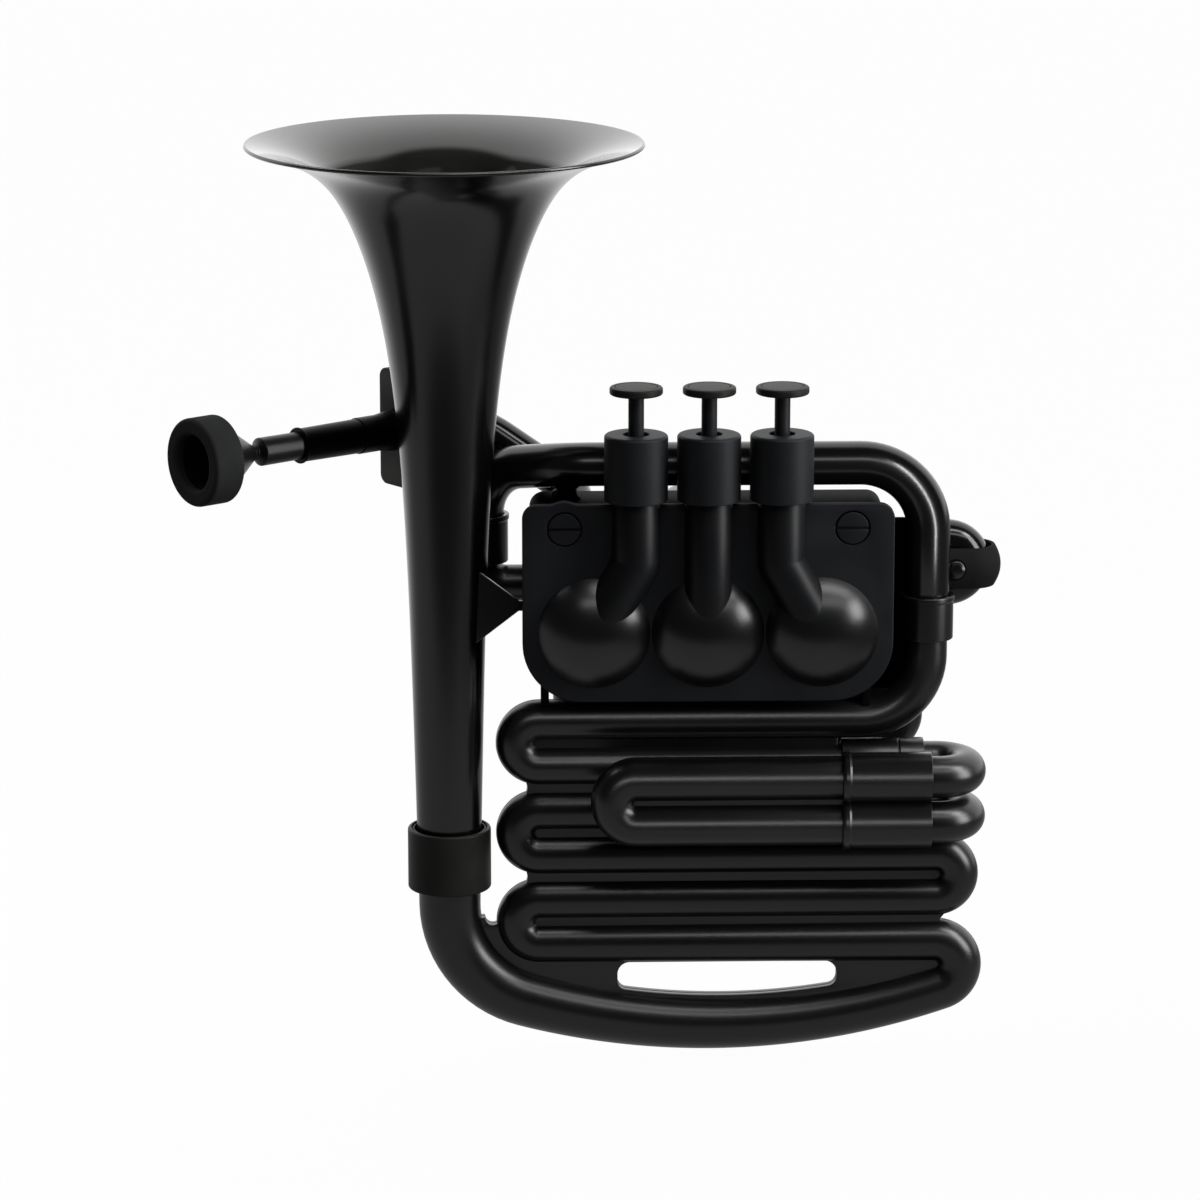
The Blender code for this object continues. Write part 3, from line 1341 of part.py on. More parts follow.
def make_lead_pipe():
    """The receiver, the lead pipe behind the bell, and the flange that ties them to it."""
    back = -1.0 * BLOWING
    socket = roomy(SHANK_R, TURN_SIDES)
    profile = [
        (socket, -RECEIVER_START),
        (RECEIVER_LIP_R, -RECEIVER_START),
        (RECEIVER_R, -RECEIVER_RING_START),
        (RECEIVER_RING_R, -RECEIVER_RING_START),
        (RECEIVER_RING_R, -RECEIVER_RING_END),
        (RECEIVER_END_R, -RECEIVER_END),
        (RECEIVER_BORE_R, -RECEIVER_END),
        (RECEIVER_BORE_R, -SHANK_END - PAST),
        (socket, -SHANK_END - PAST),
    ]
    finished(turned("receiver", profile, on_line(0.0), back), GLOSS)
    start = on_line(RECEIVER_END + CLEAR)
    corners = [
        start,
        start + BLOWING * (LEAD_BACK_X - start.x) / BLOWING.x,
        (LEAD_PORT_X, LEAD_DOWN_Y, LEAD_DOWN_Z),
        (LEAD_PORT_X, LEAD_STRAIGHT_Y, LEAD_PORT_Z),
        (LEAD_PORT_X, PORT_END_Y, LEAD_PORT_Z),
    ]
    line = rounded_line(corners, [LEAD_BACK_R, LEAD_DOWN_R, LEAD_STRAIGHT_R])
    finished(pipe("lead_pipe", graded(line, LEAD_R, LEAD_R), TUBE_SIDES, LEAD_WALL), GLOSS)
    outline = box_outline(
        -FLANGE_WIDE / 2.0,
        FLANGE_WIDE / 2.0,
        -FLANGE_TALL / 2.0,
        FLANGE_TALL / 2.0,
        FLANGE_CORNER_R,
        FLANGE_CORNER_R,
    )
    flange = slab("lead_pipe_flange", outline, -FLANGE_THICK / 2.0, FLANGE_THICK / 2.0)
    flange.rotation_euler = (math.pi / 2.0, 0.0, MOUTH_TURN - math.pi / 2.0)
    flange.location = on_line(FLANGE_AT)
    room = roomy(LEAD_R, TURN_SIDES)
    hole_start, hole_end = on_line(FLANGE_AT - FLANGE_THICK), on_line(FLANGE_AT + FLANGE_THICK)
    hole = rod("flange_hole", hole_start, hole_end, room, TURN_SIDES)
    saddle = bell_room()
    cut(flange, hole, saddle)
    finished(flange, SLATE)
    make_brace(saddle)


def make_brace(saddle):
    """The fin that ties the bell to the side of the valve block."""
    foot_x = BLOCK_LEFT_X - CLEAR
    outline = [
        (BRACE_ROOT_X, BRACE_ROOT_LOW_Z),
        (BRACE_TIP_X, BRACE_TIP_LOW_Z),
        (foot_x, BRACE_TIP_LOW_Z),
        (foot_x, BRACE_TIP_LOW_Z + BRACE_TIP_TALL),
        (BRACE_TIP_X, BRACE_TIP_LOW_Z + BRACE_TIP_TALL),
        (BRACE_ROOT_X, BRACE_ROOT_LOW_Z + BRACE_ROOT_TALL),
    ]
    brace = slab("bell_brace", outline, BRACE_FRONT_Y, BRACE_FRONT_Y + BRACE_THICK)
    cut(brace, saddle)
    finished(brace, SATIN)


# Valve loops


def loop(name, corners, radii):
    run = chained(graded(rounded_line(corners, radii), LOOP_R, LOOP_R))
    finished(tube(name, run, LOOP_SIDES), SATIN)


def make_loops():
    """The three loops that the valves let in: long, short and middle, all from the back of the block."""
    turn = LOOP_PITCH / 2.0
    low, high = LONG_LOOP_LOW_Z, LONG_LOOP_LOW_Z + LOOP_PITCH
    far = LONG_LOOP_TURN_X + turn
    loop(
        "valve_loop_1",
        [
            (LONG_LOOP_LEFT_X, PORT_END_Y, LONG_LOOP_PORT_Z),
            (LONG_LOOP_LEFT_X, LOOP_Y, LONG_LOOP_PORT_Z),
            (LONG_LOOP_LEFT_X, LOOP_Y, low),
            (far, LOOP_Y, low),
            (far, LOOP_Y, high),
            (LONG_LOOP_RIGHT_X, LOOP_Y, high),
            (LONG_LOOP_RIGHT_X, LOOP_Y, LONG_LOOP_PORT_Z),
            (LONG_LOOP_RIGHT_X, PORT_END_Y, LONG_LOOP_PORT_Z),
        ],
        [LOOP_BEND_R, LOOP_BEND_R, turn, turn, turn, LOOP_BEND_R],
    )
    left, right = VALVE_MID_X - turn, VALVE_MID_X + turn
    loop(
        "valve_loop_2",
        [
            (left, PORT_END_Y, SHORT_LOOP_Z),
            (left, SHORT_LOOP_END_Y, SHORT_LOOP_Z),
            (right, SHORT_LOOP_END_Y, SHORT_LOOP_Z),
            (right, PORT_END_Y, SHORT_LOOP_Z),
        ],
        [turn, turn],
    )
    far = SIDE_LOOP_TURN_X + turn
    loop(
        "valve_loop_3",
        [
            (SIDE_LOOP_PORT_X, PORT_END_Y, SIDE_LOOP_TOP_Z),
            (SIDE_LOOP_PORT_X, LOOP_Y, SIDE_LOOP_TOP_Z),
            (far, LOOP_Y, SIDE_LOOP_TOP_Z),
            (far, LOOP_Y, SIDE_LOOP_LOW_Z),
            (SIDE_LOOP_PORT_X, LOOP_Y, SIDE_LOOP_LOW_Z),
            (SIDE_LOOP_PORT_X, PORT_END_Y, SIDE_LOOP_LOW_Z),
        ],
        [LOOP_BEND_R, turn, turn, LOOP_BEND_R],
    )
    make_strap(far)


def make_strap(turn_x):
    """The soft strap that wraps the end of the side loop, and the stud in its front."""
    inner = roomy(LOOP_R, TURN_SIDES)
    outer = inner + STRAP_THICK
    angles = [-math.pi / 2.0 + math.pi * k / STRAP_STEPS for k in range(STRAP_STEPS + 1)]
    outside = [(turn_x + outer * math.cos(a), LOOP_Y + outer * math.sin(a)) for a in angles]
    inside = [(turn_x + inner * math.cos(a), LOOP_Y + inner * math.sin(a)) for a in angles]
    ends_rear = [(STRAP_END_X, LOOP_Y + outer), (STRAP_END_X, LOOP_Y + inner)]
    ends_front = [(STRAP_END_X, LOOP_Y - inner), (STRAP_END_X, LOOP_Y - outer)]
    strap = slab(
        "loop_strap", outside + ends_rear + inside[::-1] + ends_front, STRAP_LOW_Z, STRAP_TOP_Z, UP
    )
    face_y = LOOP_Y - outer
    tip_y = LOOP_Y - inner - CLEAR
    head_y = face_y - CLEAR
    hole = rod(
        "stud_hole",
        Vector((STUD_X, face_y - PAST, STUD_Z)),
        Vector((STUD_X, LOOP_Y - inner + PAST, STUD_Z)),
        roomy(STUD_SHANK_R, BORE_SIDES),
        BORE_SIDES,
    )
    cut(strap, hole)
    finished(strap, RUBBER)
    long = tip_y - head_y
    profile = [
        (0.0, STUD_HEAD_TALL),
        (STUD_HEAD_R - STUD_CHAMFER, STUD_HEAD_TALL),
        (STUD_HEAD_R, STUD_HEAD_TALL - STUD_CHAMFER),
        (STUD_HEAD_R, 0.0),
        (STUD_SHANK_R, 0.0),
        (STUD_SHANK_R, -long),
        (0.0, -long),
    ]
    finished(turned("strap_stud", profile, Vector((STUD_X, head_y, STUD_Z)), FRONT, TUBE_SIDES), SHEEN)


make_stack()
make_bell()
make_top_tube()
make_plate()
make_block()
make_valves()
make_slide()
make_mouthpiece()
make_lead_pipe()
make_loops()
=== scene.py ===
"""The look of the plastic horn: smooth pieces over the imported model, a studio and the camera."""

import json
import math

import bmesh
import bpy
from mathutils import Matrix, Vector

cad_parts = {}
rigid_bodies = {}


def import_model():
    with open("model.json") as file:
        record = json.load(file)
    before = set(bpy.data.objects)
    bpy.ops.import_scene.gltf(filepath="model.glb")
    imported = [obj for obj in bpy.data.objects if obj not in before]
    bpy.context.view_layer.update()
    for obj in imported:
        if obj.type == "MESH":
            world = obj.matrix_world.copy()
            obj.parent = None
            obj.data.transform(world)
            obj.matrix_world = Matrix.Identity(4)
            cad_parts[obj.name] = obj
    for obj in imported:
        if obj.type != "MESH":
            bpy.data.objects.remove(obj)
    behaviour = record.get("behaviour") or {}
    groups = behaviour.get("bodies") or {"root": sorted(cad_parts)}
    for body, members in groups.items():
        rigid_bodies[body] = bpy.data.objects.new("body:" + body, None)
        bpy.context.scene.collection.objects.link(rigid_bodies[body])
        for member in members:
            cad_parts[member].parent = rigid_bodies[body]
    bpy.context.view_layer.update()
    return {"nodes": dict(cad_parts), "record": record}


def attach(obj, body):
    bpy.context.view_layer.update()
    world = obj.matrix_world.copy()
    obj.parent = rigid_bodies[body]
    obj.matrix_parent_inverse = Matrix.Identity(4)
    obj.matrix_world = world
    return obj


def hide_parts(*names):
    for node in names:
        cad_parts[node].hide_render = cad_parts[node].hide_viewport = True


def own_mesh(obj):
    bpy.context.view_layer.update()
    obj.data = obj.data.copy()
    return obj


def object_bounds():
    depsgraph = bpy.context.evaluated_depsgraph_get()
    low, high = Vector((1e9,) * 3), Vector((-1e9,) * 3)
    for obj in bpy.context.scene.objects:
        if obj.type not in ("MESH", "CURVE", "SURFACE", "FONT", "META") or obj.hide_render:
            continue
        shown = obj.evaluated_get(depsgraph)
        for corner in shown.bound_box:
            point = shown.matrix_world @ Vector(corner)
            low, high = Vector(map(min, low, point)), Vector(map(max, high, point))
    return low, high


# Lengths are in millimetres. Those of shading, lamps, floor and camera are in metres.
MM = 0.001
UP = Vector((0.0, 0.0, 1.0))
FRONT = Vector((0.0, -1.0, 0.0))
ALONG = Vector((1.0, 0.0, 0.0))
TUBE_SIDES = 56
TURNED_SIDES = 96
SMALL_SIDES = 48
HOLE_SIDES = 72
STEP = math.radians(5.0)  # from point to point of an arc
STRAIGHT = 0.001  # a bend under this angle is none
SHARP = 32.0  # degrees, from which an edge stays sharp
WELD = 0.0005  # points nearer than this become one
AXIS = 0.001  # radius of a turned piece on its own axis

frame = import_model()
record = frame["record"]
body_of = {node: body for body, nodes in record["behaviour"]["bodies"].items() for node in nodes}
slot_of = {part["node"]: part["material_slot"] for part in record["subparts"]}


# Lines and outlines


def spaced(start, end, count):
    """Evenly spaced values from the start to the end, with both."""
    return [start + (end - start) * k / count for k in range(count + 1)]


def full_turn(sides):
    return [2.0 * math.pi * k / sides for k in range(sides)]


def rounded_corner(before, corner, after, radius):
    """The points of the arc that rounds a corner."""
    if not radius:
        return [corner]
    along = (corner - before).normalized()
    away = (after - corner).normalized()
    angle = along.angle(away)
    if angle < STRAIGHT:
        return [corner]
    inward = (away - along * along.dot(away)).normalized()
    centre = corner - along * radius * math.tan(angle / 2.0) + inward * radius
    turns = spaced(0.0, angle, max(2, math.ceil(angle / STEP)))
    return [centre - inward * radius * math.cos(a) + along * radius * math.sin(a) for a in turns]


def rounded_line(corners, radii):
    """A line from the first corner to the last, with a radius for each one between them."""
    corners = [Vector(c) for c in corners]
    points = [corners[0]]
    for before, corner, after, radius in zip(corners, corners[1:], corners[2:], radii):
        points += rounded_corner(before, corner, after, radius)
    return points + [corners[-1]]


def rounded_loop(corners):
    """A closed outline through corners of two coordinates and, where it is round, a radius."""
    flat = [Vector(c[:2]) for c in corners]
    points = []
    for k, corner in enumerate(corners):
        radius = corner[2] if len(corner) > 2 else 0.0
        points += rounded_corner(flat[k - 1], flat[k], flat[(k + 1) % len(flat)], radius)
    return points


def box_loop(left, right, low, top, low_radius, top_radius):
    lower = [(left, low, low_radius), (right, low, low_radius)]
    upper = [(right, top, top_radius), (left, top, top_radius)]
    return rounded_loop(lower + upper)


def circle(x, z, radius):
    turns = full_turn(HOLE_SIDES)
    return [Vector((x + radius * math.cos(a), z + radius * math.sin(a))) for a in turns]


def on_circle(x, z, radius, turns):
    """The points at some angles of a circle in the plane of the stack."""
    return [Vector((x + radius * math.cos(a), 0.0, z + radius * math.sin(a))) for a in turns]


def arc(x, z, radius, start, end):
    count = max(2, math.ceil(abs(end - start) / STEP))
    return on_circle(x, z, radius, spaced(start, end, count))


def even(points, radius):
    """The points with one radius for all."""
    return [(p, radius) for p in points]


def graded(points, start, end):
    """The points with a radius that changes evenly along the line."""
    lengths = [0.0]
    for a, b in zip(points, points[1:]):
        lengths.append(lengths[-1] + (b - a).length)
    return [(p, start + (end - start) * run / lengths[-1]) for p, run in zip(points, lengths)]


def chained(*runs):
    """Runs of points and radii as one, without the points that lie on the one before."""
    whole = []
    for place, radius in (pair for run in runs for pair in run):
        if not whole or (place - whole[-1][0]).length > 0.01:
            whole.append((place, radius))
    return whole


# Meshes


def placed(name, data):
    """An object in the scene for a mesh, a curve, a lamp or a camera."""
    obj = bpy.data.objects.new(name, data)
    bpy.context.scene.collection.objects.link(obj)
    return obj


def smoothed(mesh, angle=SHARP):
    """The mesh, smooth where its faces bend less than the angle."""
    mesh.shade_smooth()
    mesh.set_sharp_from_angle(angle=math.radians(angle))
    return mesh


def welded(mesh, angle=SHARP):
    """The mesh without double points, with its faces turned outward and smooth."""
    shape = bmesh.new()
    shape.from_mesh(mesh)
    bmesh.ops.remove_doubles(shape, verts=shape.verts, dist=WELD * MM)
    bmesh.ops.recalc_face_normals(shape, faces=shape.faces)
    shape.to_mesh(mesh)
    shape.free()
    return smoothed(mesh, angle)


def final_mesh(obj):
    """The mesh of an object as its settings or modifiers shape it."""
    bpy.context.view_layer.update()
    depsgraph = bpy.context.evaluated_depsgraph_get()
    return bpy.data.meshes.new_from_object(obj.evaluated_get(depsgraph))


def skinned(name, rings, closed=False, angle=SHARP):
    """A body whose skin runs over rings of points. It ends in a face, or back in its first ring."""
    sides = len(rings[0])
    points = [p for ring in rings for p in ring]
    faces = []
    for k in range(len(rings) - (0 if closed else 1)):
        a, b = k * sides, (k + 1) % len(rings) * sides
        faces += [(a + s, a + (s + 1) % sides, b + (s + 1) % sides, b + s) for s in range(sides)]
    if not closed:
        faces += [tuple(range(sides)), tuple(range(len(points) - sides, len(points)))]
    mesh = bpy.data.meshes.new(name)
    mesh.from_pydata([p * MM for p in points], [], faces)
    return placed(name, welded(mesh, angle))


def frames(points, across=None):
    """At each point of a line, two directions across it that turn as little as they can."""
    tangents = []
    for k in range(len(points)):
        a, b = points[max(k - 1, 0)], points[min(k + 1, len(points) - 1)]
        tangents.append((b - a).normalized())
    side = Vector(across) if across else tangents[0].orthogonal()
    result = []
    for tangent in tangents:
        side = (side - tangent * side.dot(tangent)).normalized()
        result.append((side, tangent.cross(side), tangent))
    return result


def pipe(name, run, wall=0.0, sides=TUBE_SIDES, edge=0.35, across=None):
    """A round tube along a run, with softened ends. It is solid where it has no wall."""
    turns = full_turn(sides)
    axes = frames([p for p, _ in run], across)

    def ring(k, less=0.0, shift=0.0):
        """The ring at a point, with less radius and shifted along the line."""
        side, other, tangent = axes[k]
        place, radius = run[k]
        centre, reach = place + tangent * shift, radius - less
        return [centre + (side * math.cos(a) + other * math.sin(a)) * reach for a in turns]

    last = len(run) - 1
    soft = 0.3 * edge
    rings = [ring(0, edge), ring(0, soft, soft), ring(0, 0.0, edge)]
    rings += [ring(k) for k in range(1, last)]
    rings += [ring(last, 0.0, -edge), ring(last, soft, -soft), ring(last, edge)]
    if wall:
        rings += [ring(k, wall) for k in range(last, -1, -1)]
    return skinned(name, rings, closed=bool(wall))


def lathe(name, profile, origin, direction, sides=TURNED_SIDES, angle=SHARP):
    """A turned piece from a closed profile of radius, height and rounding radius."""
    tilt = UP.rotation_difference(direction).to_matrix()
    turns = full_turn(sides)
    rings = []
    for r, h in rounded_loop(profile):
        ring = [Vector((r * math.cos(a), r * math.sin(a), h)) for a in turns]
        rings.append([Vector(origin) + tilt @ p for p in ring])
    return skinned(name, rings, closed=True, angle=angle)


def slab(name, outlines, near, far, bevel, place=None, soft=2):
    """A flat piece between two depths, with rounded edges. All outlines but the first are holes."""
    curve = bpy.data.curves.new(name, "CURVE")
    curve.dimensions = "2D"
    curve.fill_mode = "BOTH"
    curve.extrude = abs(far - near) / 2.0 - bevel
    curve.bevel_depth = bevel
    curve.bevel_resolution = soft
    curve.offset = -bevel
    for outline in outlines:
        spline = curve.splines.new("POLY")
        spline.points.add(len(outline) - 1)
        for point, (x, z) in zip(spline.points, outline):
            point.co = (x, z, 0.0, 1.0)
        spline.use_cyclic_u = True
    drawn = placed(name, curve)
    mesh = final_mesh(drawn)
    bpy.data.objects.remove(drawn)
    if place is None:
        place = Matrix.Translation((0.0, (near + far) / 2.0, 0.0))
    upright = Matrix.Rotation(math.pi / 2.0, 4, "X")
    mesh.transform(Matrix.Scale(MM, 4) @ place @ upright)
    return placed(name, welded(mesh))


def together(name, *pieces):
    """Several meshes as one piece."""
    shape = bmesh.new()
    for piece in pieces:
        shape.from_mesh(piece.data)
    mesh = bpy.data.meshes.new(name)
    shape.to_mesh(mesh)
    shape.free()
    for piece in pieces:
        bpy.data.objects.remove(piece)
    return placed(name, mesh)


def carved(piece, cutter):
    """The piece without what the cutter covers."""
    step = piece.modifiers.new("carved", "BOOLEAN")
    step.operation = "DIFFERENCE"
    step.solver = "EXACT"
    step.object = cutter
    mesh = final_mesh(piece)
    piece.modifiers.clear()
    piece.data = smoothed(mesh)
    return piece


# Shader nodes


def shader_node(tree, kind, values=None, **settings):
    """A node with its settings and with values for some of its inputs."""
    node = tree.nodes.new(f"ShaderNode{kind}")
    for setting, value in settings.items():
        setattr(node, setting, value)
    for label, value in (values or {}).items():
        node.inputs[label].default_value = value
    return node


def ramp(tree, axis, places, values, space="Object", smooth=False):
    """A number that runs from one value to another between two places along an axis."""
    ends = {"From Min": places[0], "From Max": places[1], "To Min": values[0], "To Max": values[1]}
    interpolation = "SMOOTHSTEP" if smooth else "LINEAR"
    run = shader_node(tree, "MapRange", ends, interpolation_type=interpolation)
    point = shader_node(tree, "TexCoord")
    axes = shader_node(tree, "SeparateXYZ")
    tree.links.new(point.outputs[space], axes.inputs["Vector"])
    tree.links.new(axes.outputs[axis], run.inputs["Value"])
    return run.outputs["Result"]


def product(tree, first, second):
    times = shader_node(tree, "Math", operation="MULTIPLY")
    tree.links.new(first, times.inputs[0])
    tree.links.new(second, times.inputs[1])
    return times.outputs["Value"]


def mixed(tree, share, first, second):
    """One shader, or another where the share is 1."""
    mix = shader_node(tree, "MixShader")
    tree.links.new(share, mix.inputs["Fac"])
    tree.links.new(first, mix.inputs[1])
    tree.links.new(second, mix.inputs[2])
    return mix.outputs["Shader"]


def group(name, inputs, outputs):
    """A node group of numbers by label, with the nodes that hand them in and out."""
    tree = bpy.data.node_groups.new(name, "ShaderNodeTree")
    for label, value in inputs.items():
        socket = tree.interface.new_socket(label, in_out="INPUT", socket_type="NodeSocketFloat")
        socket.default_value = value
    for label, kind in outputs.items():
        tree.interface.new_socket(label, in_out="OUTPUT", socket_type=f"NodeSocket{kind}")
    return tree, tree.nodes.new("NodeGroupInput"), tree.nodes.new("NodeGroupOutput")


def grain_group():
    """The fine grain of a moulded surface."""
    inputs = {"Scale": 4000.0, "Depth": 0.1}
    tree, given, result = group("moulded_grain", inputs, {"Normal": "Vector"})
    point = shader_node(tree, "TexCoord")
    fine = shader_node(tree, "TexNoise", {"Detail": 2.0})
    bump = shader_node(tree, "Bump", {"Distance": 0.0001})
    link = tree.links.new
    link(point.outputs["Object"], fine.inputs["Vector"])
    link(given.outputs["Scale"], fine.inputs["Scale"])
    link(given.outputs["Depth"], bump.inputs["Strength"])
    link(fine.outputs["Fac"], bump.inputs["Height"])
    link(bump.outputs["Normal"], result.inputs["Normal"])
    return tree


def cloud_group():
    """Soft clouds for uneven gloss, and specks of faint dust."""
    outputs = {"Cloud": "Float", "Specks": "Float"}
    tree, given, result = group("uneven_gloss", {"Scale": 40.0}, outputs)
    point = shader_node(tree, "TexCoord")
    clouds = shader_node(tree, "TexNoise", {"Detail": 6.0, "Distortion": 0.6})
    cloud = shader_node(tree, "MapRange", {"From Min": 0.3, "From Max": 0.7})
    dust = shader_node(tree, "TexNoise", {"Scale": 1600.0, "Detail": 3.0})
    speck = shader_node(tree, "MapRange", {"From Min": 0.66, "From Max": 0.78})
    link = tree.links.new
    link(point.outputs["Object"], clouds.inputs["Vector"])
    link(point.outputs["Object"], dust.inputs["Vector"])
    link(given.outputs["Scale"], clouds.inputs["Scale"])
    link(clouds.outputs["Fac"], cloud.inputs["Value"])
    link(dust.outputs["Fac"], speck.inputs["Value"])
    link(cloud.outputs["Result"], result.inputs["Cloud"])
    link(speck.outputs["Result"], result.inputs["Specks"])
    return tree


# Finishes

GRAIN = grain_group()
CLOUD = cloud_group()
TINT = 0.25  # how far a colour strays to both sides, as a share of it
DUST = 0.006  # how much paler a speck is
SHEEN = 0.56  # specular level of the bell

# Colour, roughness and how far it strays, scale and depth of the grain, specular level, metal
FINISH_VALUES = {
    "satin_black": ((0.0028, 0.0029, 0.0030), 0.30, 0.012, 2600.0, 0.10, 0.50),
    "slate_black": ((0.0064, 0.0070, 0.0087), 0.55, 0.020, 2400.0, 0.30, 0.18),
    "tube_black": ((0.0026, 0.0027, 0.0028), 0.22, 0.010, 2600.0, 0.06, 0.50),
    "gloss_black": ((0.0018, 0.0018, 0.0020), 0.14, 0.010, 3000.0, 0.04, 0.36),
    "sheen_black": ((0.0020, 0.0021, 0.0024), 0.21, 0.010, 2600.0, 0.10, SHEEN),
    # The bell's copy of sheen_black, with painted shade on its valve side
    "bell_black": ((0.0020, 0.0021, 0.0024), 0.21, 0.010, 2600.0, 0.10, SHEEN),
    # The throat's paler colour is painted light, standing in for the light reflected inside the
    # mouth
    "throat_black": ((0.0125, 0.0122, 0.0106), 0.10, 0.0, 2600.0, 0.04, SHEEN),
    "dome_black": ((0.0026, 0.0028, 0.0033), 0.30, 0.015, 2400.0, 0.15, 0.55),
    "cover_black": ((0.0038, 0.0041, 0.0049), 0.42, 0.015, 2400.0, 0.10, 0.17),
    "block_black": ((0.0022, 0.0023, 0.0024), 0.70, 0.020, 2600.0, 0.20, 0.04),
    "flange_grey": ((0.0300, 0.0295, 0.0275), 0.60, 0.020, 2600.0, 0.20, 0.20),
    "collar_black": ((0.0130, 0.0130, 0.0120), 0.45, 0.015, 2600.0, 0.10, 0.12),
    "cup_black": ((0.0050, 0.0050, 0.0048), 0.36, 0.015, 2600.0, 0.10, 0.20),
    # The rim's paler colour is painted light, for the light its face would catch
    "rim_black": ((0.0200, 0.0208, 0.0204), 0.80, 0.030, 2200.0, 0.40, 0.06),
    "receiver_black": ((0.0030, 0.0031, 0.0031), 0.40, 0.015, 2600.0, 0.10, 0.08),
    "button_grey": ((0.0085, 0.0083, 0.0076), 0.50, 0.020, 2600.0, 0.20, 0.12),
    "soft_black": ((0.0086, 0.0088, 0.0089), 0.80, 0.030, 2200.0, 0.40, 0.06),
    "spring_steel": ((0.42, 0.42, 0.43), 0.30, 0.05, 2500.0, 0.05, 0.50, 1.0),
}


def finish(name, colour, roughness, stray, scale, depth, specular, metallic=0.0):
    """A material whose colour and gloss vary a little over the surface, with a moulded grain."""
    material = bpy.data.materials.new(name)
    material.use_nodes = True
    tree = material.node_tree
    shader = tree.nodes["Principled BSDF"]
    shader.inputs["Specular IOR Level"].default_value = specular
    shader.inputs["Metallic"].default_value = metallic
    darker = [c * (1.0 - TINT) for c in colour]
    lighter = [c * (1.0 + TINT) for c in colour]
    dusted = [c + DUST for c in colour]
    grain = shader_node(tree, "Group", node_tree=GRAIN)
    grain.inputs["Scale"].default_value = scale
    grain.inputs["Depth"].default_value = depth
    cloud = shader_node(tree, "Group", node_tree=CLOUD)
    tone = shader_node(tree, "Mix", {"A": (*darker, 1.0), "B": (*lighter, 1.0)}, data_type="RGBA")
    dusty = shader_node(tree, "Mix", {"B": (*dusted, 1.0)}, data_type="RGBA")
    spread = {"To Min": roughness - stray, "To Max": roughness + stray}
    gloss = shader_node(tree, "MapRange", spread)
    link = tree.links.new
    link(cloud.outputs["Cloud"], tone.inputs["Factor"])
    link(tone.outputs["Result"], dusty.inputs["A"])
    link(cloud.outputs["Specks"], dusty.inputs["Factor"])
    link(dusty.outputs["Result"], shader.inputs["Base Color"])
    link(cloud.outputs["Cloud"], gloss.inputs["Value"])
    link(gloss.outputs["Result"], shader.inputs["Roughness"])
    link(grain.outputs["Normal"], shader.inputs["Normal"])
    return material


FINISHES = {name: finish(name, *values) for name, values in FINISH_VALUES.items()}


def reflecting(material, level):
    """Gives a material a specular level from its own nodes."""
    shader = material.node_tree.nodes["Principled BSDF"]
    material.node_tree.links.new(level, shader.inputs["Specular IOR Level"])


def paint_throat_shade(material):
    """Painted shade inside the bell: its reflection fades out just below the mouth."""
    reflecting(material, ramp(material.node_tree, "Z", (0.3315, 0.3290), (SHEEN, 0.02)))


def paint_valve_side_shade(material):
    """Painted shade: the bell reflects less on the edge that faces the valves, below the flare,
    where the valve block would shade it.
    """
    tree = material.node_tree
    sideways = ramp(tree, "X", (-0.1040, -0.0975), (0.0, 1.0))
    downwards = ramp(tree, "Z", (0.260, 0.215), (0.0, 1.0))
    level = shader_node(tree, "MapRange", {"To Min": SHEEN, "To Max": 0.06})
    tree.links.new(product(tree, sideways, downwards), level.inputs["Value"])
    reflecting(material, level.outputs["Result"])


# Painted shade: the reflection fades in the throat below the mouth, and on the bell's valve side
paint_throat_shade(FINISHES["throat_black"])
paint_valve_side_shade(FINISHES["bell_black"])


def dressed(piece, node, finish_name=None):
    """Puts a piece in the place of a CAD node, on its body and in its finish."""
    piece.data.materials.clear()
    piece.data.materials.append(FINISHES[finish_name or slot_of[node]])
    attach(piece, body_of[node])
    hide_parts(node)
    return piece


for node, obj in frame["nodes"].items():
    obj.data.materials.clear()
    obj.data.materials.append(FINISHES[slot_of[node]])


# Folded tube

ROW_R = 8.2
PITCH = 18.75  # from row to row
HALF = PITCH / 2.0
TOP_ROW_Z = 108.8
LEFT_X = -76.2  # centres of the left turns
RIGHT_X = 84.3  # centres of the right turns
SLEEVED_X = 57.0  # where the upper rows meet the sleeves
LEG_X = 79.5
LEG_LOW_Z = 151.0
LEG_BEND_R = 26.0
BELL_X = -112.6
BELL_FOOT_Z = 51.6
BELL_BEND_R = 42.0
BOW_X, BOW_Z, BOW_R = -3.0, 265.2, 285.0
LAST_ROW_R = 8.8  # the tube widens from here
BOW_START_R = 9.5
BOW_END_R = 12.7


def row_z(row):
    return TOP_ROW_Z - PITCH * row


def left_turn(row):
    return arc(LEFT_X, row_z(row) - HALF, HALF, math.pi / 2.0, 1.5 * math.pi)


def right_turn(row):
    return arc(RIGHT_X, row_z(row) - HALF, HALF, math.pi / 2.0, -math.pi / 2.0)


def upper_run():
    """From the right leg into the first two rows."""
    line = [Vector((LEG_X, 0.0, LEG_LOW_Z))]
    line += arc(LEG_X - LEG_BEND_R, TOP_ROW_Z + LEG_BEND_R, LEG_BEND_R, 0.0, -math.pi / 2.0)
    line += left_turn(0) + [Vector((SLEEVED_X, 0.0, row_z(1)))]
    return even(line, ROW_R)


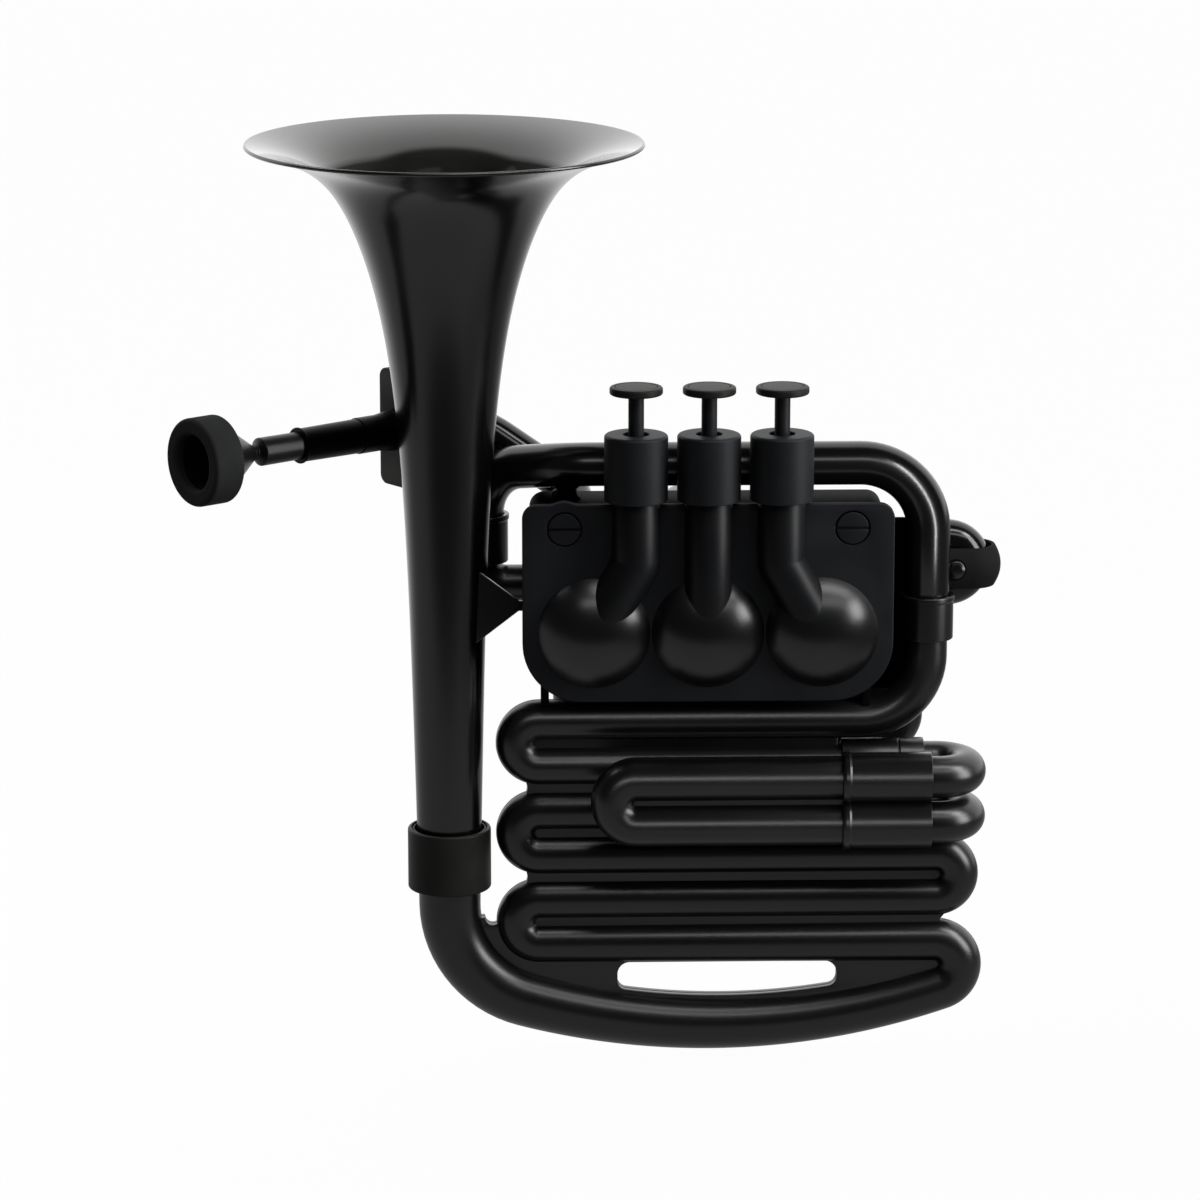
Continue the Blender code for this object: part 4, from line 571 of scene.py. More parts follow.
def bow_run():
    """The last right turn, the bow and the bend up to the bell."""
    across, drop = RIGHT_X - BOW_X, BOW_Z - row_z(5)
    turn_r = (BOW_R**2 - across**2 - drop**2) / (2.0 * (drop + BOW_R))
    start = math.atan2(-(drop + turn_r), across)
    turn = arc(RIGHT_X, row_z(5) - turn_r, turn_r, math.pi / 2.0, start)
    bend_x = BELL_X + BELL_BEND_R
    bend_drop = math.sqrt((BOW_R - BELL_BEND_R) ** 2 - (bend_x - BOW_X) ** 2)
    end = math.atan2(-bend_drop, bend_x - BOW_X)
    bow = on_circle(BOW_X, BOW_Z, BOW_R, spaced(start, end, 40))
    bow += arc(bend_x, BOW_Z - bend_drop, BELL_BEND_R, end, -math.pi)
    bow.append(Vector((BELL_X, 0.0, BELL_FOOT_Z)))
    return chained(graded(turn, LAST_ROW_R, BOW_START_R), graded(bow, BOW_START_R, BOW_END_R))


def lower_run():
    """From the third row down to the bow and up to the bell."""
    rows = [Vector((SLEEVED_X, 0.0, row_z(2)))] + left_turn(2) + right_turn(3) + left_turn(4)
    last = [rows[-1], Vector((RIGHT_X, 0.0, row_z(5)))]
    return chained(even(rows, ROW_R), graded(last, ROW_R, LAST_ROW_R), bow_run())


SEAM_Y = 0.15  # each half ends this far from the mid-plane
EDGE_Y = 0.45  # its round stops this far from the mid-plane
EDGE_IN = 0.3  # and its edge is cut back by this
TONGUE_IN, TONGUE_Y = 0.9, -0.12  # the rear half reaches across the seam, inside the edge
WEB_Y = 3.0  # half of the web's thickness


def half_tube(name, run, side):
    """Half of a tube that lies in the plane of the stack, with its edges broken at the seam."""
    flat = [(EDGE_IN, SEAM_Y)]
    if side > 0.0:
        flat += [(TONGUE_IN, SEAM_Y), (TONGUE_IN, TONGUE_Y)]
    rings = []
    axes = frames([p for p, _ in run], (0.0, 1.0, 0.0))
    for (centre, radius), (_, out, _) in zip(run, axes):
        edge = math.asin(EDGE_Y / radius)
        turns = spaced(edge, math.pi - edge, 40)
        ring = [(radius * math.cos(a), radius * math.sin(a)) for a in turns]
        ring += [(cut - radius, y) for cut, y in flat]
        ring += [(radius - cut, y) for cut, y in flat[::-1]]
        rings.append([centre + out * reach + Vector((0.0, side * y, 0.0)) for reach, y in ring])
    return skinned(name, rings)


WEB_LEFT_X = -83.5
WEB_RIGHT_X = 90.0
WEB_STEP_X = 44.0  # the web ends here beside the two upper rows
WEB_LOW_Z = 26.4
DIP_IN, DIP_RISE = 3.4, 5.0  # of the web's edge between two right turns
NOTCH_X, NOTCH_R = -95.2, 3.2  # round end of the web between the bow and the last row
SLOT_HALF = 44.6
SLOT_TOP_Z = 6.9
SLOT_RIM = 12.4  # from the middle of the bow to the slot


def web_outline():
    """The web: along the bow, up the right turns, over the rows and down the left turns."""
    below = [(p.x, p.z) for p, _ in bow_run() if p.z < WEB_LOW_Z and p.x < WEB_RIGHT_X]
    right = [
        (WEB_RIGHT_X, row_z(5)),
        (WEB_RIGHT_X, row_z(5) + DIP_RISE),
        (WEB_RIGHT_X - DIP_IN, row_z(4) - HALF),
        (WEB_RIGHT_X, row_z(4) - DIP_RISE),
        (WEB_RIGHT_X, row_z(3)),
    ]
    top = [(WEB_STEP_X, row_z(3)), (WEB_STEP_X, TOP_ROW_Z), (WEB_LEFT_X, TOP_ROW_Z)]
    left = []
    for row in (2, 4):
        for inward, rise in ((0.0, 7.0), (1.8, 3.2), (2.5, 0.0), (1.8, -3.2), (0.0, -7.0)):
            left.append((WEB_LEFT_X + inward, row_z(row) + HALF + rise))
    left.append((WEB_LEFT_X, WEB_LOW_Z))
    turns = spaced(math.pi, 0.0, 10)
    notch = [(NOTCH_X - NOTCH_R * math.cos(a), WEB_LOW_Z - NOTCH_R * math.sin(a)) for a in turns]
    return below[::-1] + right + top + left + notch + [(BELL_X, WEB_LOW_Z)]


def slot_outline():
    """The hand slot: straight at the top, and along the bow below."""
    reach = BOW_R - SLOT_RIM
    ends = [math.acos((side * SLOT_HALF - BOW_X) / reach) for side in (-1.0, 1.0)]
    left_low, right_low = [BOW_Z - reach * math.sin(a) for a in ends]
    middle, half = sum(ends) / 2.0, 0.9 * (ends[0] - ends[1]) / 2.0
    turns = spaced(middle + half, middle - half, 20)
    curve = [(BOW_X + reach * math.cos(a), BOW_Z - reach * math.sin(a)) for a in turns]
    left = [(-SLOT_HALF, SLOT_TOP_Z, 5.0), (-SLOT_HALF, left_low, 4.0)]
    right = [(SLOT_HALF, right_low, 4.0), (SLOT_HALF, SLOT_TOP_Z, 5.0)]
    return rounded_loop(left + curve + right)


for shell, side in (("stack_front_shell", -1.0), ("stack_rear_shell", 1.0)):
    near, far = (-WEB_Y, -SEAM_Y) if side < 0.0 else (TONGUE_Y, WEB_Y)
    web = slab("web", [web_outline(), slot_outline()], near, far, 0.45)
    dressed(together(f"{shell}_look", web, half_tube("lower", lower_run(), side)), shell)
    dressed(half_tube(f"{shell}_upper_look", upper_run(), side), shell)


# Bell and its collar

BELL_TOP_Z = 341.0
BELL_LENGTH = 289.2
BELL_GAP = 0.15  # under the bell's foot
BELL_WALL = 1.6
TAIL_R, TAPER = 12.73, 0.01925
FLARE, FLARE_FALL = 37.3, 46.7
LIP, LIP_FALL = 22.4, 5.85
BELL_AXIS = (BELL_X, 0.0, 0.0)
BELL_POINTS, CLOSENESS = 140, 5.0  # along a side, and how much closer they are at the mouth
NUDGE = 0.01  # to measure the slope


def bell_radius(depth):
    """The outer radius at a depth below the mouth: a cone, a flare and a lip."""
    lip = LIP * math.exp(-depth / LIP_FALL)
    flare = FLARE * math.exp(-depth / FLARE_FALL)
    return TAIL_R + TAPER * (BELL_LENGTH - depth) + lip + flare


def bell_sides():
    """The outer and inner side from the mouth down, with points closer at the mouth."""
    outer, inner = [], []
    for run in spaced(0.0, CLOSENESS, BELL_POINTS):
        depth = (BELL_LENGTH - BELL_GAP) * math.expm1(run) / math.expm1(CLOSENESS)
        slope = (bell_radius(depth + NUDGE) - bell_radius(depth)) / NUDGE
        across = BELL_WALL / math.hypot(1.0, slope)
        outer.append((bell_radius(depth), BELL_TOP_Z - depth))
        inner.append((bell_radius(depth) - across, BELL_TOP_Z - depth - across * slope))
    inner[-1] = (inner[-1][0], outer[-1][1])
    return outer, inner


outer, inner = bell_sides()
(lip_r, lip_z), (mouth_r, mouth_z) = outer[0], inner[0]
bead_z = (lip_z + mouth_z) / 2.0
bead = [
    (mouth_r + 0.35, mouth_z),
    (lip_r + 0.42, bead_z + 0.35),
    (lip_r + 0.5, bead_z),
    (lip_r + 0.42, bead_z - 0.35),
]
bell = lathe("bell_look", bead + outer + inner[::-1], BELL_AXIS, UP, sides=160, angle=50.0)
# The bell's finish carries painted shade on its valve side
dressed(bell, "bell", "bell_black")
# The inner faces take the throat finish, whose paler colour is painted light and whose fading
# reflection is painted shade
bell.data.materials.append(FINISHES["throat_black"])
for face in bell.data.polygons:
    outward = face.center - Vector((BELL_X * MM, 0.0, face.center.z))
    face.material_index = int(face.normal.dot(outward) < 0.0)

collar = [
    (16.8, 39.2, 0.9),
    (16.8, 64.4, 1.1),
    (15.35, 64.4, 0.25),
    (15.35, 63.2, 0.2),
    (14.75, 63.2, 0.2),
    (14.75, 64.0, 0.2),
    (14.2, 64.0, 0.1),
    (14.2, 51.8, 0.0),
    (13.1, 51.8, 0.0),
    (13.1, 39.2, 0.1),
]
dressed(lathe("bell_collar_look", collar, BELL_AXIS, UP), "bell_collar", "collar_black")


# Top tube, ferrules, elbow and saddle

FIT = 0.3  # between a tube and the sleeve or the tube it meets
TOP_TUBE_R = 8.75
TOP_TUBE_Z = 213.7
TOP_BEND_X, TOP_DROP_Z = -62.0, 207.0  # where the tube bends back behind the bell
LEFT_LEG_X, LEFT_LEG_Y = -98.6, 24.3
ELBOW_X, ELBOW_Z, ELBOW_R = -66.0, 159.3, 7.7
ELBOW_TOP_Z = 178.4
SOCKET_Y = 6.8  # tubes end here inside the block
SADDLE_X = -65.05

top_corners = [
    (LEG_X, 0.0, LEG_LOW_Z + FIT),
    (LEG_X, 0.0, TOP_TUBE_Z),
    (TOP_BEND_X, 0.0, TOP_TUBE_Z),
    (LEFT_LEG_X, LEFT_LEG_Y, TOP_DROP_Z),
    (LEFT_LEG_X, LEFT_LEG_Y, ELBOW_TOP_Z + FIT),
]
top_line = rounded_line(top_corners, [27.6, 30.0, 22.0])
dressed(pipe("top_tube_look", even(top_line, TOP_TUBE_R), wall=2.0), "top_tube", "tube_black")


def ferrule(node, x, y, low, top, lower_r, step_z):
    """A sleeve with a rim at its top, and a step in its bore where the two tubes meet."""
    profile = [
        (10.9, top, 0.45),
        (10.9, top - 2.0, 0.35),
        (10.45, top - 2.5, 0.2),
        (10.45, low, 0.5),
        (lower_r + FIT, low, 0.1),
        (lower_r + FIT, step_z),
        (TOP_TUBE_R + FIT, step_z),
        (TOP_TUBE_R + FIT, top, 0.15),
    ]
    dressed(lathe(f"{node}_look", profile, (x, y, 0.0), UP), node)


ferrule("right_ferrule", LEG_X, 0.0, 142.0, 160.0, ROW_R, LEG_LOW_Z)
ferrule("left_ferrule", LEFT_LEG_X, LEFT_LEG_Y, 169.0, 188.6, ELBOW_R, ELBOW_TOP_Z)

elbow_corners = [
    (LEFT_LEG_X, LEFT_LEG_Y, ELBOW_TOP_Z),
    (LEFT_LEG_X, LEFT_LEG_Y, ELBOW_Z),
    (ELBOW_X, LEFT_LEG_Y, ELBOW_Z),
    (ELBOW_X, SOCKET_Y, ELBOW_Z),
]
elbow_line = rounded_line(elbow_corners, [9.5, 9.5])
dressed(pipe("elbow_look", even(elbow_line, ELBOW_R), wall=1.8), "elbow")

saddle_sides = [(5.75, 200.8), (4.15, 202.2), (3.55, 204.6), (5.75, 206.6)]
saddle = [(SADDLE_X + half, z) for half, z in saddle_sides]
saddle += [(SADDLE_X - half, z) for half, z in saddle_sides[::-1]]
dressed(slab("tube_saddle_look", [saddle], -6.0, 6.0, 0.3), "tube_saddle", "block_black")


# Valve plate and its screws

VALVES = (1, 2, 3)
VALVE_MID = -9.4
VALVE_PITCH = 28.7
VALVE_Y = -22.0
DOME_PITCH = 45.2
DOME_R, DOME_RISE, DOME_SUNK = 22.3, 11.0, 1.5
DOME_Z = 149.8
COVER_R = 9.4
PLATE_FRONT, PLATE_REAR = -21.6, -18.0
PLATE_HALF = 73.6
PLATE_LOW_Z, PLATE_TOP_Z = 121.5, 201.8
SCREWS = {"left": VALVE_MID - 56.9, "right": VALVE_MID + 56.9}
SCREW_Z = 192.0
SCREW_R = 6.35
SCREW_SLOT = 0.6  # half of the slot's width
SCREW_SEAT_Y = -20.9  # bottom of the slot


def valve_x(valve):
    return VALVE_MID + (valve - 2) * VALVE_PITCH


def dome_x(valve):
    return VALVE_MID + (valve - 2) * DOME_PITCH


def plate_outline():
    """A plate with round lower corners and a low swelling of its top edge over the left screw."""
    left, right = VALVE_MID - PLATE_HALF, VALVE_MID + PLATE_HALF
    low = [(left, PLATE_LOW_Z, 24.0), (right, PLATE_LOW_Z, 24.0)]
    swelling = []
    for t in spaced(1.0, -1.0, 16):
        rise = 1.4 * (1.0 + math.cos(math.pi * t)) / 2.0
        swelling.append((SCREWS["left"] + 6.0 * t, PLATE_TOP_Z + rise))
    return rounded_loop(low + [(right, PLATE_TOP_Z, 6.0)] + swelling + [(left, PLATE_TOP_Z, 6.0)])


def dome(valve):
    """A shallow cap of a ball, with its edge sunk into the plate."""
    ball_r = (DOME_R**2 + DOME_RISE**2) / (2.0 * DOME_RISE)
    centre = DOME_RISE - ball_r
    turns = spaced(0.0, math.acos((-DOME_SUNK - centre) / ball_r), 36)
    profile = [(max(ball_r * math.sin(a), AXIS), centre + ball_r * math.cos(a)) for a in turns]
    profile += [(20.4, -DOME_SUNK), (AXIS, 7.5)]
    origin = (dome_x(valve), PLATE_FRONT, DOME_Z)
    return lathe(f"dome_{valve}", profile, origin, FRONT, sides=128)


def cover(valve):
    """The pipe from a cap down to its dome."""
    x = valve_x(valve)
    corners = [(x, VALVE_Y, 203.6), (x, VALVE_Y, 178.5), (dome_x(valve), VALVE_Y, DOME_Z)]
    return pipe(f"cover_{valve}", even(rounded_line(corners, [7.0]), COVER_R), sides=72, edge=0.3)


def land(x, side):
    """The half of a screw's round head above or below its slot."""
    low = math.asin(SCREW_SLOT / SCREW_R)
    turns = spaced(low, math.pi - low, 40)
    return [(x + SCREW_R * math.cos(a), SCREW_Z + side * SCREW_R * math.sin(a)) for a in turns]


domes = together("valve_domes_look", *[dome(valve) for valve in VALVES])
covers = together("valve_covers_look", *[cover(valve) for valve in VALVES])
holes = [circle(x, SCREW_Z, SCREW_R + 0.5) for x in SCREWS.values()]
plate = [slab("plate", [plate_outline(), *holes], PLATE_FRONT, PLATE_REAR, 0.55, soft=3)]
for label, x in SCREWS.items():
    seat = [circle(x, SCREW_Z, SCREW_R + 1.05)]
    plate.append(slab(f"seat_{label}", seat, PLATE_FRONT + 1.9, PLATE_REAR, 0.1))
dressed(together("valve_plate_look", *plate), "valve_plate")
dressed(domes, "valve_plate", "dome_black")
dressed(covers, "valve_plate", "cover_black")

for label, x in SCREWS.items():
    disc = [circle(x, SCREW_Z, SCREW_R)]
    screw = [slab(f"head_{label}", disc, SCREW_SEAT_Y - 0.05, SCREW_SEAT_Y + 0.8, 0.1)]
    for side in (1.0, -1.0):
        screw.append(slab("land", [land(x, side)], SCREW_SEAT_Y - 1.1, SCREW_SEAT_Y, 0.28))
    shank = [Vector((x, y, SCREW_Z)) for y in (-20.2, -8.1)]
    screw.append(pipe(f"shank_{label}", even(shank, 3.0)))
    dressed(together(f"plate_screw_{label}_look", *screw), f"plate_screw_{label}")


# Valve block and its feet

BLOCK_HALF = 70.3
BLOCK_REAR = 11.5
LEAD_X, LEAD_Z, LEAD_R = -62.0, 190.0, 8.0
LOOP_R = 8.2
LOOP_1_X, LOOP_1_Z = (-62.0, -40.0), 136.0
LOOP_2_X, LOOP_2_Z = (VALVE_MID - HALF, VALVE_MID + HALF), 190.0
LOOP_3_X, LOOP_3_Z = 20.0, (176.4, 157.65)

body = box_loop(VALVE_MID - BLOCK_HALF, VALVE_MID + BLOCK_HALF, 124.5, 200.5, 22.0, 6.0)
block = [slab("block", [body], PLATE_REAR + 0.3, BLOCK_REAR, 1.0, soft=3)]
side_web = box_loop(40.0, 73.1, 118.5, 189.0, 4.0, 3.0)
block.append(slab("side_web", [side_web], 9.0, 11.3, 0.4))
ports = [(LEAD_X, LEAD_Z, LEAD_R), (ELBOW_X, ELBOW_Z, ELBOW_R)]
ports += [(x, LOOP_1_Z, LOOP_R) for x in LOOP_1_X] + [(x, LOOP_2_Z, LOOP_R) for x in LOOP_2_X]
ports += [(LOOP_3_X, z, LOOP_R) for z in LOOP_3_Z]
for number, (x, z, radius) in enumerate(ports):
    inside, outside = radius + 0.35, radius + 1.0
    ring = [(inside, 0.0, 0.1), (outside, 0.0, 0.2), (outside, 0.9, 0.3), (inside, 0.9, 0.2)]
    block.append(lathe(f"port_{number}", ring, (x, BLOCK_REAR - 0.2, z), -FRONT))
dressed(together("valve_block_look", *block), "valve_block", "block_black")

for label, x, top in (("left", -73.9, 131.0), ("right", 55.1, 127.6)):
    edge = box_loop(x - 1.6, x + 1.6, 115.5, top, 0.2, 0.2)
    foot = slab(f"block_foot_{label}_look", [edge], -6.0, 6.0, 0.15)
    dressed(foot, f"block_foot_{label}", "block_black")


# Caps, springs, stems and buttons

CRANK_R = 9.2
STEM_R = 3.1
ROD_R = 2.0
COLLAR_R = 5.7  # of the stem's collar, which stops under the cap
COIL_R, WIRE_R, COILS, COIL_SIDES = 4.7, 0.5, 6, 32


def cap(valve):
    profile = [
        (12.6, 203.9, 0.4),
        (12.6, 230.4, 1.3),
        (5.2, 230.4, 0.4),
        (5.2, 228.9, 0.1),
        (6.0, 228.9, 0.1),
        (6.0, 206.4, 0.2),
        (3.4, 206.4, 0.1),
        (3.4, 203.9, 0.1),
    ]
    piece = lathe(f"casing_cap_{valve}_look", profile, (valve_x(valve), VALVE_Y, 0.0), UP)
    dressed(piece, f"casing_cap_{valve}")


def stem(valve):
    """A stem with its collar, the rod down to the dome, and the yoke round the crank's pin."""
    x = valve_x(valve)
    profile = [
        (AXIS, 246.0),
        (STEM_R, 246.0, 0.2),
        (STEM_R, 228.5, 0.3),
        (COLLAR_R, 228.5, 0.3),
        (COLLAR_R, 226.5, 0.3),
        (STEM_R, 226.5, 0.2),
        (STEM_R, 198.0, 0.4),
        (AXIS, 198.0),
    ]
    side = -1.0 if valve == 3 else 1.0
    pin_x = dome_x(valve) + side * (CRANK_R * math.cos(math.pi / 4.0) + CRANK_R) / 2.0
    pin_z = DOME_Z + CRANK_R * math.sin(math.pi / 4.0)
    bend_z = 166.0 if valve == 2 else 189.0
    corners = [(x, VALVE_Y, 199.0), (x, VALVE_Y, bend_z), (pin_x, VALVE_Y, pin_z + 2.9)]
    window = box_loop(pin_x - 3.25, pin_x + 3.25, pin_z - 1.9, pin_z + 1.9, 0.4, 0.4)
    edge = box_loop(pin_x - 5.25, pin_x + 5.25, pin_z - 3.9, pin_z + 3.9, 0.8, 0.8)
    pieces = [
        lathe(f"stem_{valve}", profile, (x, VALVE_Y, 0.0), UP, sides=SMALL_SIDES),
        pipe(f"rod_{valve}", even(rounded_line(corners, [3.0]), ROD_R), sides=24),
        slab(f"yoke_{valve}", [edge, window], VALVE_Y - 1.5, VALVE_Y + 1.5, 0.2),
    ]
    dressed(together(f"valve_stem_{valve}_look", *pieces), f"valve_stem_{valve}")


def button(valve):
    """A finger button with the disc that is set into its top."""
    place = (valve_x(valve), VALVE_Y, 0.0)
    profile = [
        (AXIS, 248.5),
        (8.5, 248.5, 0.1),
        (8.5, 249.4, 0.15),
        (10.5, 249.4, 0.9),
        (10.5, 246.3, 0.9),
        (AXIS, 246.3),
    ]
    disc = [(AXIS, 249.4), (8.3, 249.4, 0.25), (8.3, 248.8), (AXIS, 248.8)]
    piece = lathe(f"button_{valve}_look", profile, place, UP)
    dressed(piece, f"button_{valve}", "button_grey")
    inlay = lathe(f"button_inlay_{valve}_look", disc, place, UP)
    dressed(inlay, f"button_inlay_{valve}", "button_grey")


def spring(valve):
    """A wound spring under the stem's collar."""
    x, low, high = valve_x(valve), 206.7, 226.2
    turns = spaced(0.0, 2.0 * math.pi * COILS, COILS * COIL_SIDES)
    heights = spaced(low + WIRE_R, high - WIRE_R, COILS * COIL_SIDES)
    wound = []
    for a, z in zip(turns, heights):
        wound.append(Vector((x + COIL_R * math.cos(a), VALVE_Y + COIL_R * math.sin(a), z)))
    piece = pipe(f"return_spring_{valve}_look", even(wound, WIRE_R), sides=12, edge=0.1)
    dressed(piece, f"return_spring_{valve}")
    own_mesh(piece)


for valve in VALVES:
    cap(valve)
    stem(valve)
    button(valve)
    spring(valve)


# Tuning slide, double ferrules and crooks

SLIDE_Y = -23.0
SLIDE_END_X = 72.5
SLIDE_TURN_X = -37.8
SLIDE_R = 8.8
CROOK_R = 8.4
CROOK_BEND_R = 11.5
CROOK_X = 94.6
UPPER_Z, LOWER_Z = row_z(1), row_z(2)


def hairpin():
    left = SLIDE_TURN_X - HALF
    corners = [(SLIDE_END_X, UPPER_Z), (left, UPPER_Z), (left, LOWER_Z), (SLIDE_END_X, LOWER_Z)]
    line = rounded_line([(x, SLIDE_Y, z) for x, z in corners], [HALF, HALF])
    run = chained(even(line, SLIDE_R))
    tube = pipe("hairpin", run, wall=2.0, across=(0.0, 1.0, 0.0))
    strip = box_loop(SLIDE_TURN_X - 4.0, 70.0, LOWER_Z + 2.0, UPPER_Z - 2.0, 0.0, 0.0)
    web = slab("hairpin_web", [strip], SLIDE_Y - 2.6, SLIDE_Y + 2.6, 0.3)
    dressed(together("front_hairpin_look", tube, web), "front_hairpin")


def double_ferrule(node, profile, y):
    """The same sleeve on both rows."""
    pair = [lathe(f"{node}_{z}", profile, (0.0, y, z), ALONG) for z in (UPPER_Z, LOWER_Z)]
    dressed(together(f"{node}_look", *pair), node)


def crook(node, z):
    """A bend from the slide back into the stack."""
    corners = [(73.1, SLIDE_Y, z), (CROOK_X, SLIDE_Y, z), (CROOK_X, 0.0, z), (57.3, 0.0, z)]
    line = rounded_line(corners, [CROOK_BEND_R, CROOK_BEND_R])
    dressed(pipe(f"{node}_look", chained(even(line, CROOK_R)), wall=2.0), node)


front_sleeve = [
    (8.95, 44.5, 0.15),
    (10.1, 44.5, 0.3),
    (10.55, 45.6, 0.4),
    (10.55, 47.0, 0.4),
    (10.1, 47.9, 0.3),
    (10.1, 80.0, 0.3),
    (8.95, 80.0, 0.15),
]
rear_sleeve = [
    (8.7, 45.6, 0.15),
    (10.0, 45.6, 0.35),
    (10.0, 68.1, 0.15),
    (9.5, 68.6, 0.1),
    (10.0, 69.1, 0.15),
    (10.0, 78.7, 0.35),
    (8.7, 78.7, 0.15),
]
hairpin()
double_ferrule("front_double_ferrule", front_sleeve, SLIDE_Y)
double_ferrule("rear_double_ferrule", rear_sleeve, 0.0)
crook("upper_crook", UPPER_Z)
crook("lower_crook", LOWER_Z)


# Mouthpiece, receiver and lead pipe

BLOW_ANGLE = math.radians(38.0)
BLOW = Vector((math.cos(BLOW_ANGLE), math.sin(BLOW_ANGLE), 0.0))
BLOW_Z = 224.0
MOUTH_X = -211.3
beside_bell = Vector((-BLOW.y, BLOW.x, 0.0)) * (bell_radius(BELL_TOP_Z - BLOW_Z) + LEAD_R + 0.85)
passing = Vector((BELL_X, 0.0, BLOW_Z)) + beside_bell
MOUTH = passing + BLOW * (MOUTH_X - passing.x) / BLOW.x


def on_line(distance):
    return MOUTH + BLOW * distance


rim = [
    (13.4, 13.5, 0.3),
    (13.4, 4.0, 0.3),
    (11.0, 4.0, 0.3),
    (11.0, 0.0, 1.7),
    (17.4, 0.0, 1.7),
    (17.4, 13.5, 1.3),
]
# The rim's paler finish is painted light
dressed(lathe("mouthpiece_rim_look", rim, MOUTH, BLOW), "mouthpiece_rim", "rim_black")

THROAT_R = 1.8
turns = spaced(0.0, 1.35, 12)
bowl = [(max(10.4 * math.cos(a), THROAT_R), 4.3 + 15.7 * math.sin(a)) for a in turns]
cup = bowl + [
    (THROAT_R, 22.0),
    (2.6, 63.0),
    (4.85, 63.0, 0.2),
    (4.95, 50.8, 0.1),
    (5.5, 50.8, 0.1),
    (5.6, 32.5, 0.5),
    (3.6, 31.6, 0.3),
    (2.6, 31.0, 0.2),
    (3.4, 30.2, 0.2),
    (2.7, 29.4, 0.2),
    (3.4, 28.4, 0.4),
    (12.4, 15.6, 2.0),
    (13.0, 14.6, 0.3),
    (13.0, 4.3, 0.2),
]
dressed(lathe("mouthpiece_cup_look", cup, MOUTH, BLOW), "mouthpiece_cup", "cup_black")

receiver = [
    (5.35, 51.0, 0.2),
    (7.2, 51.0, 0.45),
    (7.2, 52.0, 0.45),
    (6.65, 52.1, 0.1),
    (6.9, 80.0),
    (7.25, 80.0, 0.15),
    (7.25, 90.0, 0.3),
    (8.2, 96.7, 0.2),
    (4.2, 96.7),
    (4.2, 64.0),
    (5.35, 64.0),
]
dressed(lathe("receiver_look", receiver, MOUTH, BLOW), "receiver", "receiver_black")

lead_corners = [
    on_line(97.0),
    on_line(107.3 / BLOW.x),
    (LEAD_X, 36.0, 196.0),
    (LEAD_X, 22.0, LEAD_Z),
    (LEAD_X, SOCKET_Y, LEAD_Z),
]
lead_line = rounded_line(lead_corners, [30.0, 12.0, 10.0])
dressed(pipe("lead_pipe_look", even(lead_line, LEAD_R), wall=1.8), "lead_pipe")


# Flange and brace, cut to fit round the bell

room = [(r + 0.3, z) for r, z in outer] + [(AXIS, 51.0), (AXIS, BELL_TOP_Z)]
bell_room = lathe("bell_room", room, BELL_AXIS, UP)

facing = Matrix.Rotation(BLOW_ANGLE - math.pi / 2.0, 4, "Z")
across_line = Matrix.Translation(on_line(103.0)) @ facing
flange_edge = [box_loop(-12.5, 12.5, -23.75, 23.75, 4.0, 4.0), circle(0.0, 0.0, LEAD_R + 0.35)]
flange = slab("lead_pipe_flange_look", flange_edge, -2.25, 2.25, 0.5, place=across_line)
dressed(carved(flange, bell_room), "lead_pipe_flange", "flange_grey")

BRACE_ROOT_X, BRACE_NECK_X, BRACE_TIP_X = -106.0, -84.3, -80.0
fin = [
    (BRACE_ROOT_X, 139.5),
    (BRACE_NECK_X, 156.3),
    (BRACE_TIP_X, 156.3),
    (BRACE_TIP_X, 160.4),
    (BRACE_NECK_X, 160.4),
    (BRACE_ROOT_X, 177.0),
]
brace = slab("bell_brace_look", [fin], -10.4, -8.0, 0.35)
dressed(carved(brace, bell_room), "bell_brace")
bpy.data.objects.remove(bell_room)


# Valve loops, strap and stud

LOOP_Y = 25.0
LOOP_2_Y = 37.0
SOCKET_BEND_R = 12.0
LOOP_1_TURN_X = 62.9 + HALF
LOOP_1_LOW_Z = 94.6
LOOP_3_TURN_X = 89.5 + HALF


def loop(node, corners, radii):
    dressed(pipe(f"{node}_look", chained(even(rounded_line(corners, radii), LOOP_R))), node)


first, last = LOOP_1_X
loop(
    "valve_loop_1",
    [
        (first, SOCKET_Y, LOOP_1_Z),
        (first, LOOP_Y, LOOP_1_Z),
        (first, LOOP_Y, LOOP_1_LOW_Z),
        (LOOP_1_TURN_X, LOOP_Y, LOOP_1_LOW_Z),
        (LOOP_1_TURN_X, LOOP_Y, LOOP_1_LOW_Z + PITCH),
        (last, LOOP_Y, LOOP_1_LOW_Z + PITCH),
        (last, LOOP_Y, LOOP_1_Z),
        (last, SOCKET_Y, LOOP_1_Z),
    ],
    [SOCKET_BEND_R, SOCKET_BEND_R, HALF, HALF, HALF, SOCKET_BEND_R],
)
first, last = LOOP_2_X
loop(
    "valve_loop_2",
    [
        (first, SOCKET_Y, LOOP_2_Z),
        (first, LOOP_2_Y, LOOP_2_Z),
        (last, LOOP_2_Y, LOOP_2_Z),
        (last, SOCKET_Y, LOOP_2_Z),
    ],
    [HALF, HALF],
)
first, last = LOOP_3_Z
loop(
    "valve_loop_3",
    [
        (LOOP_3_X, SOCKET_Y, first),
        (LOOP_3_X, LOOP_Y, first),
        (LOOP_3_TURN_X, LOOP_Y, first),
        (LOOP_3_TURN_X, LOOP_Y, last),
        (LOOP_3_X, LOOP_Y, last),
        (LOOP_3_X, SOCKET_Y, last),
    ],
    [SOCKET_BEND_R, HALF, HALF, SOCKET_BEND_R],
)

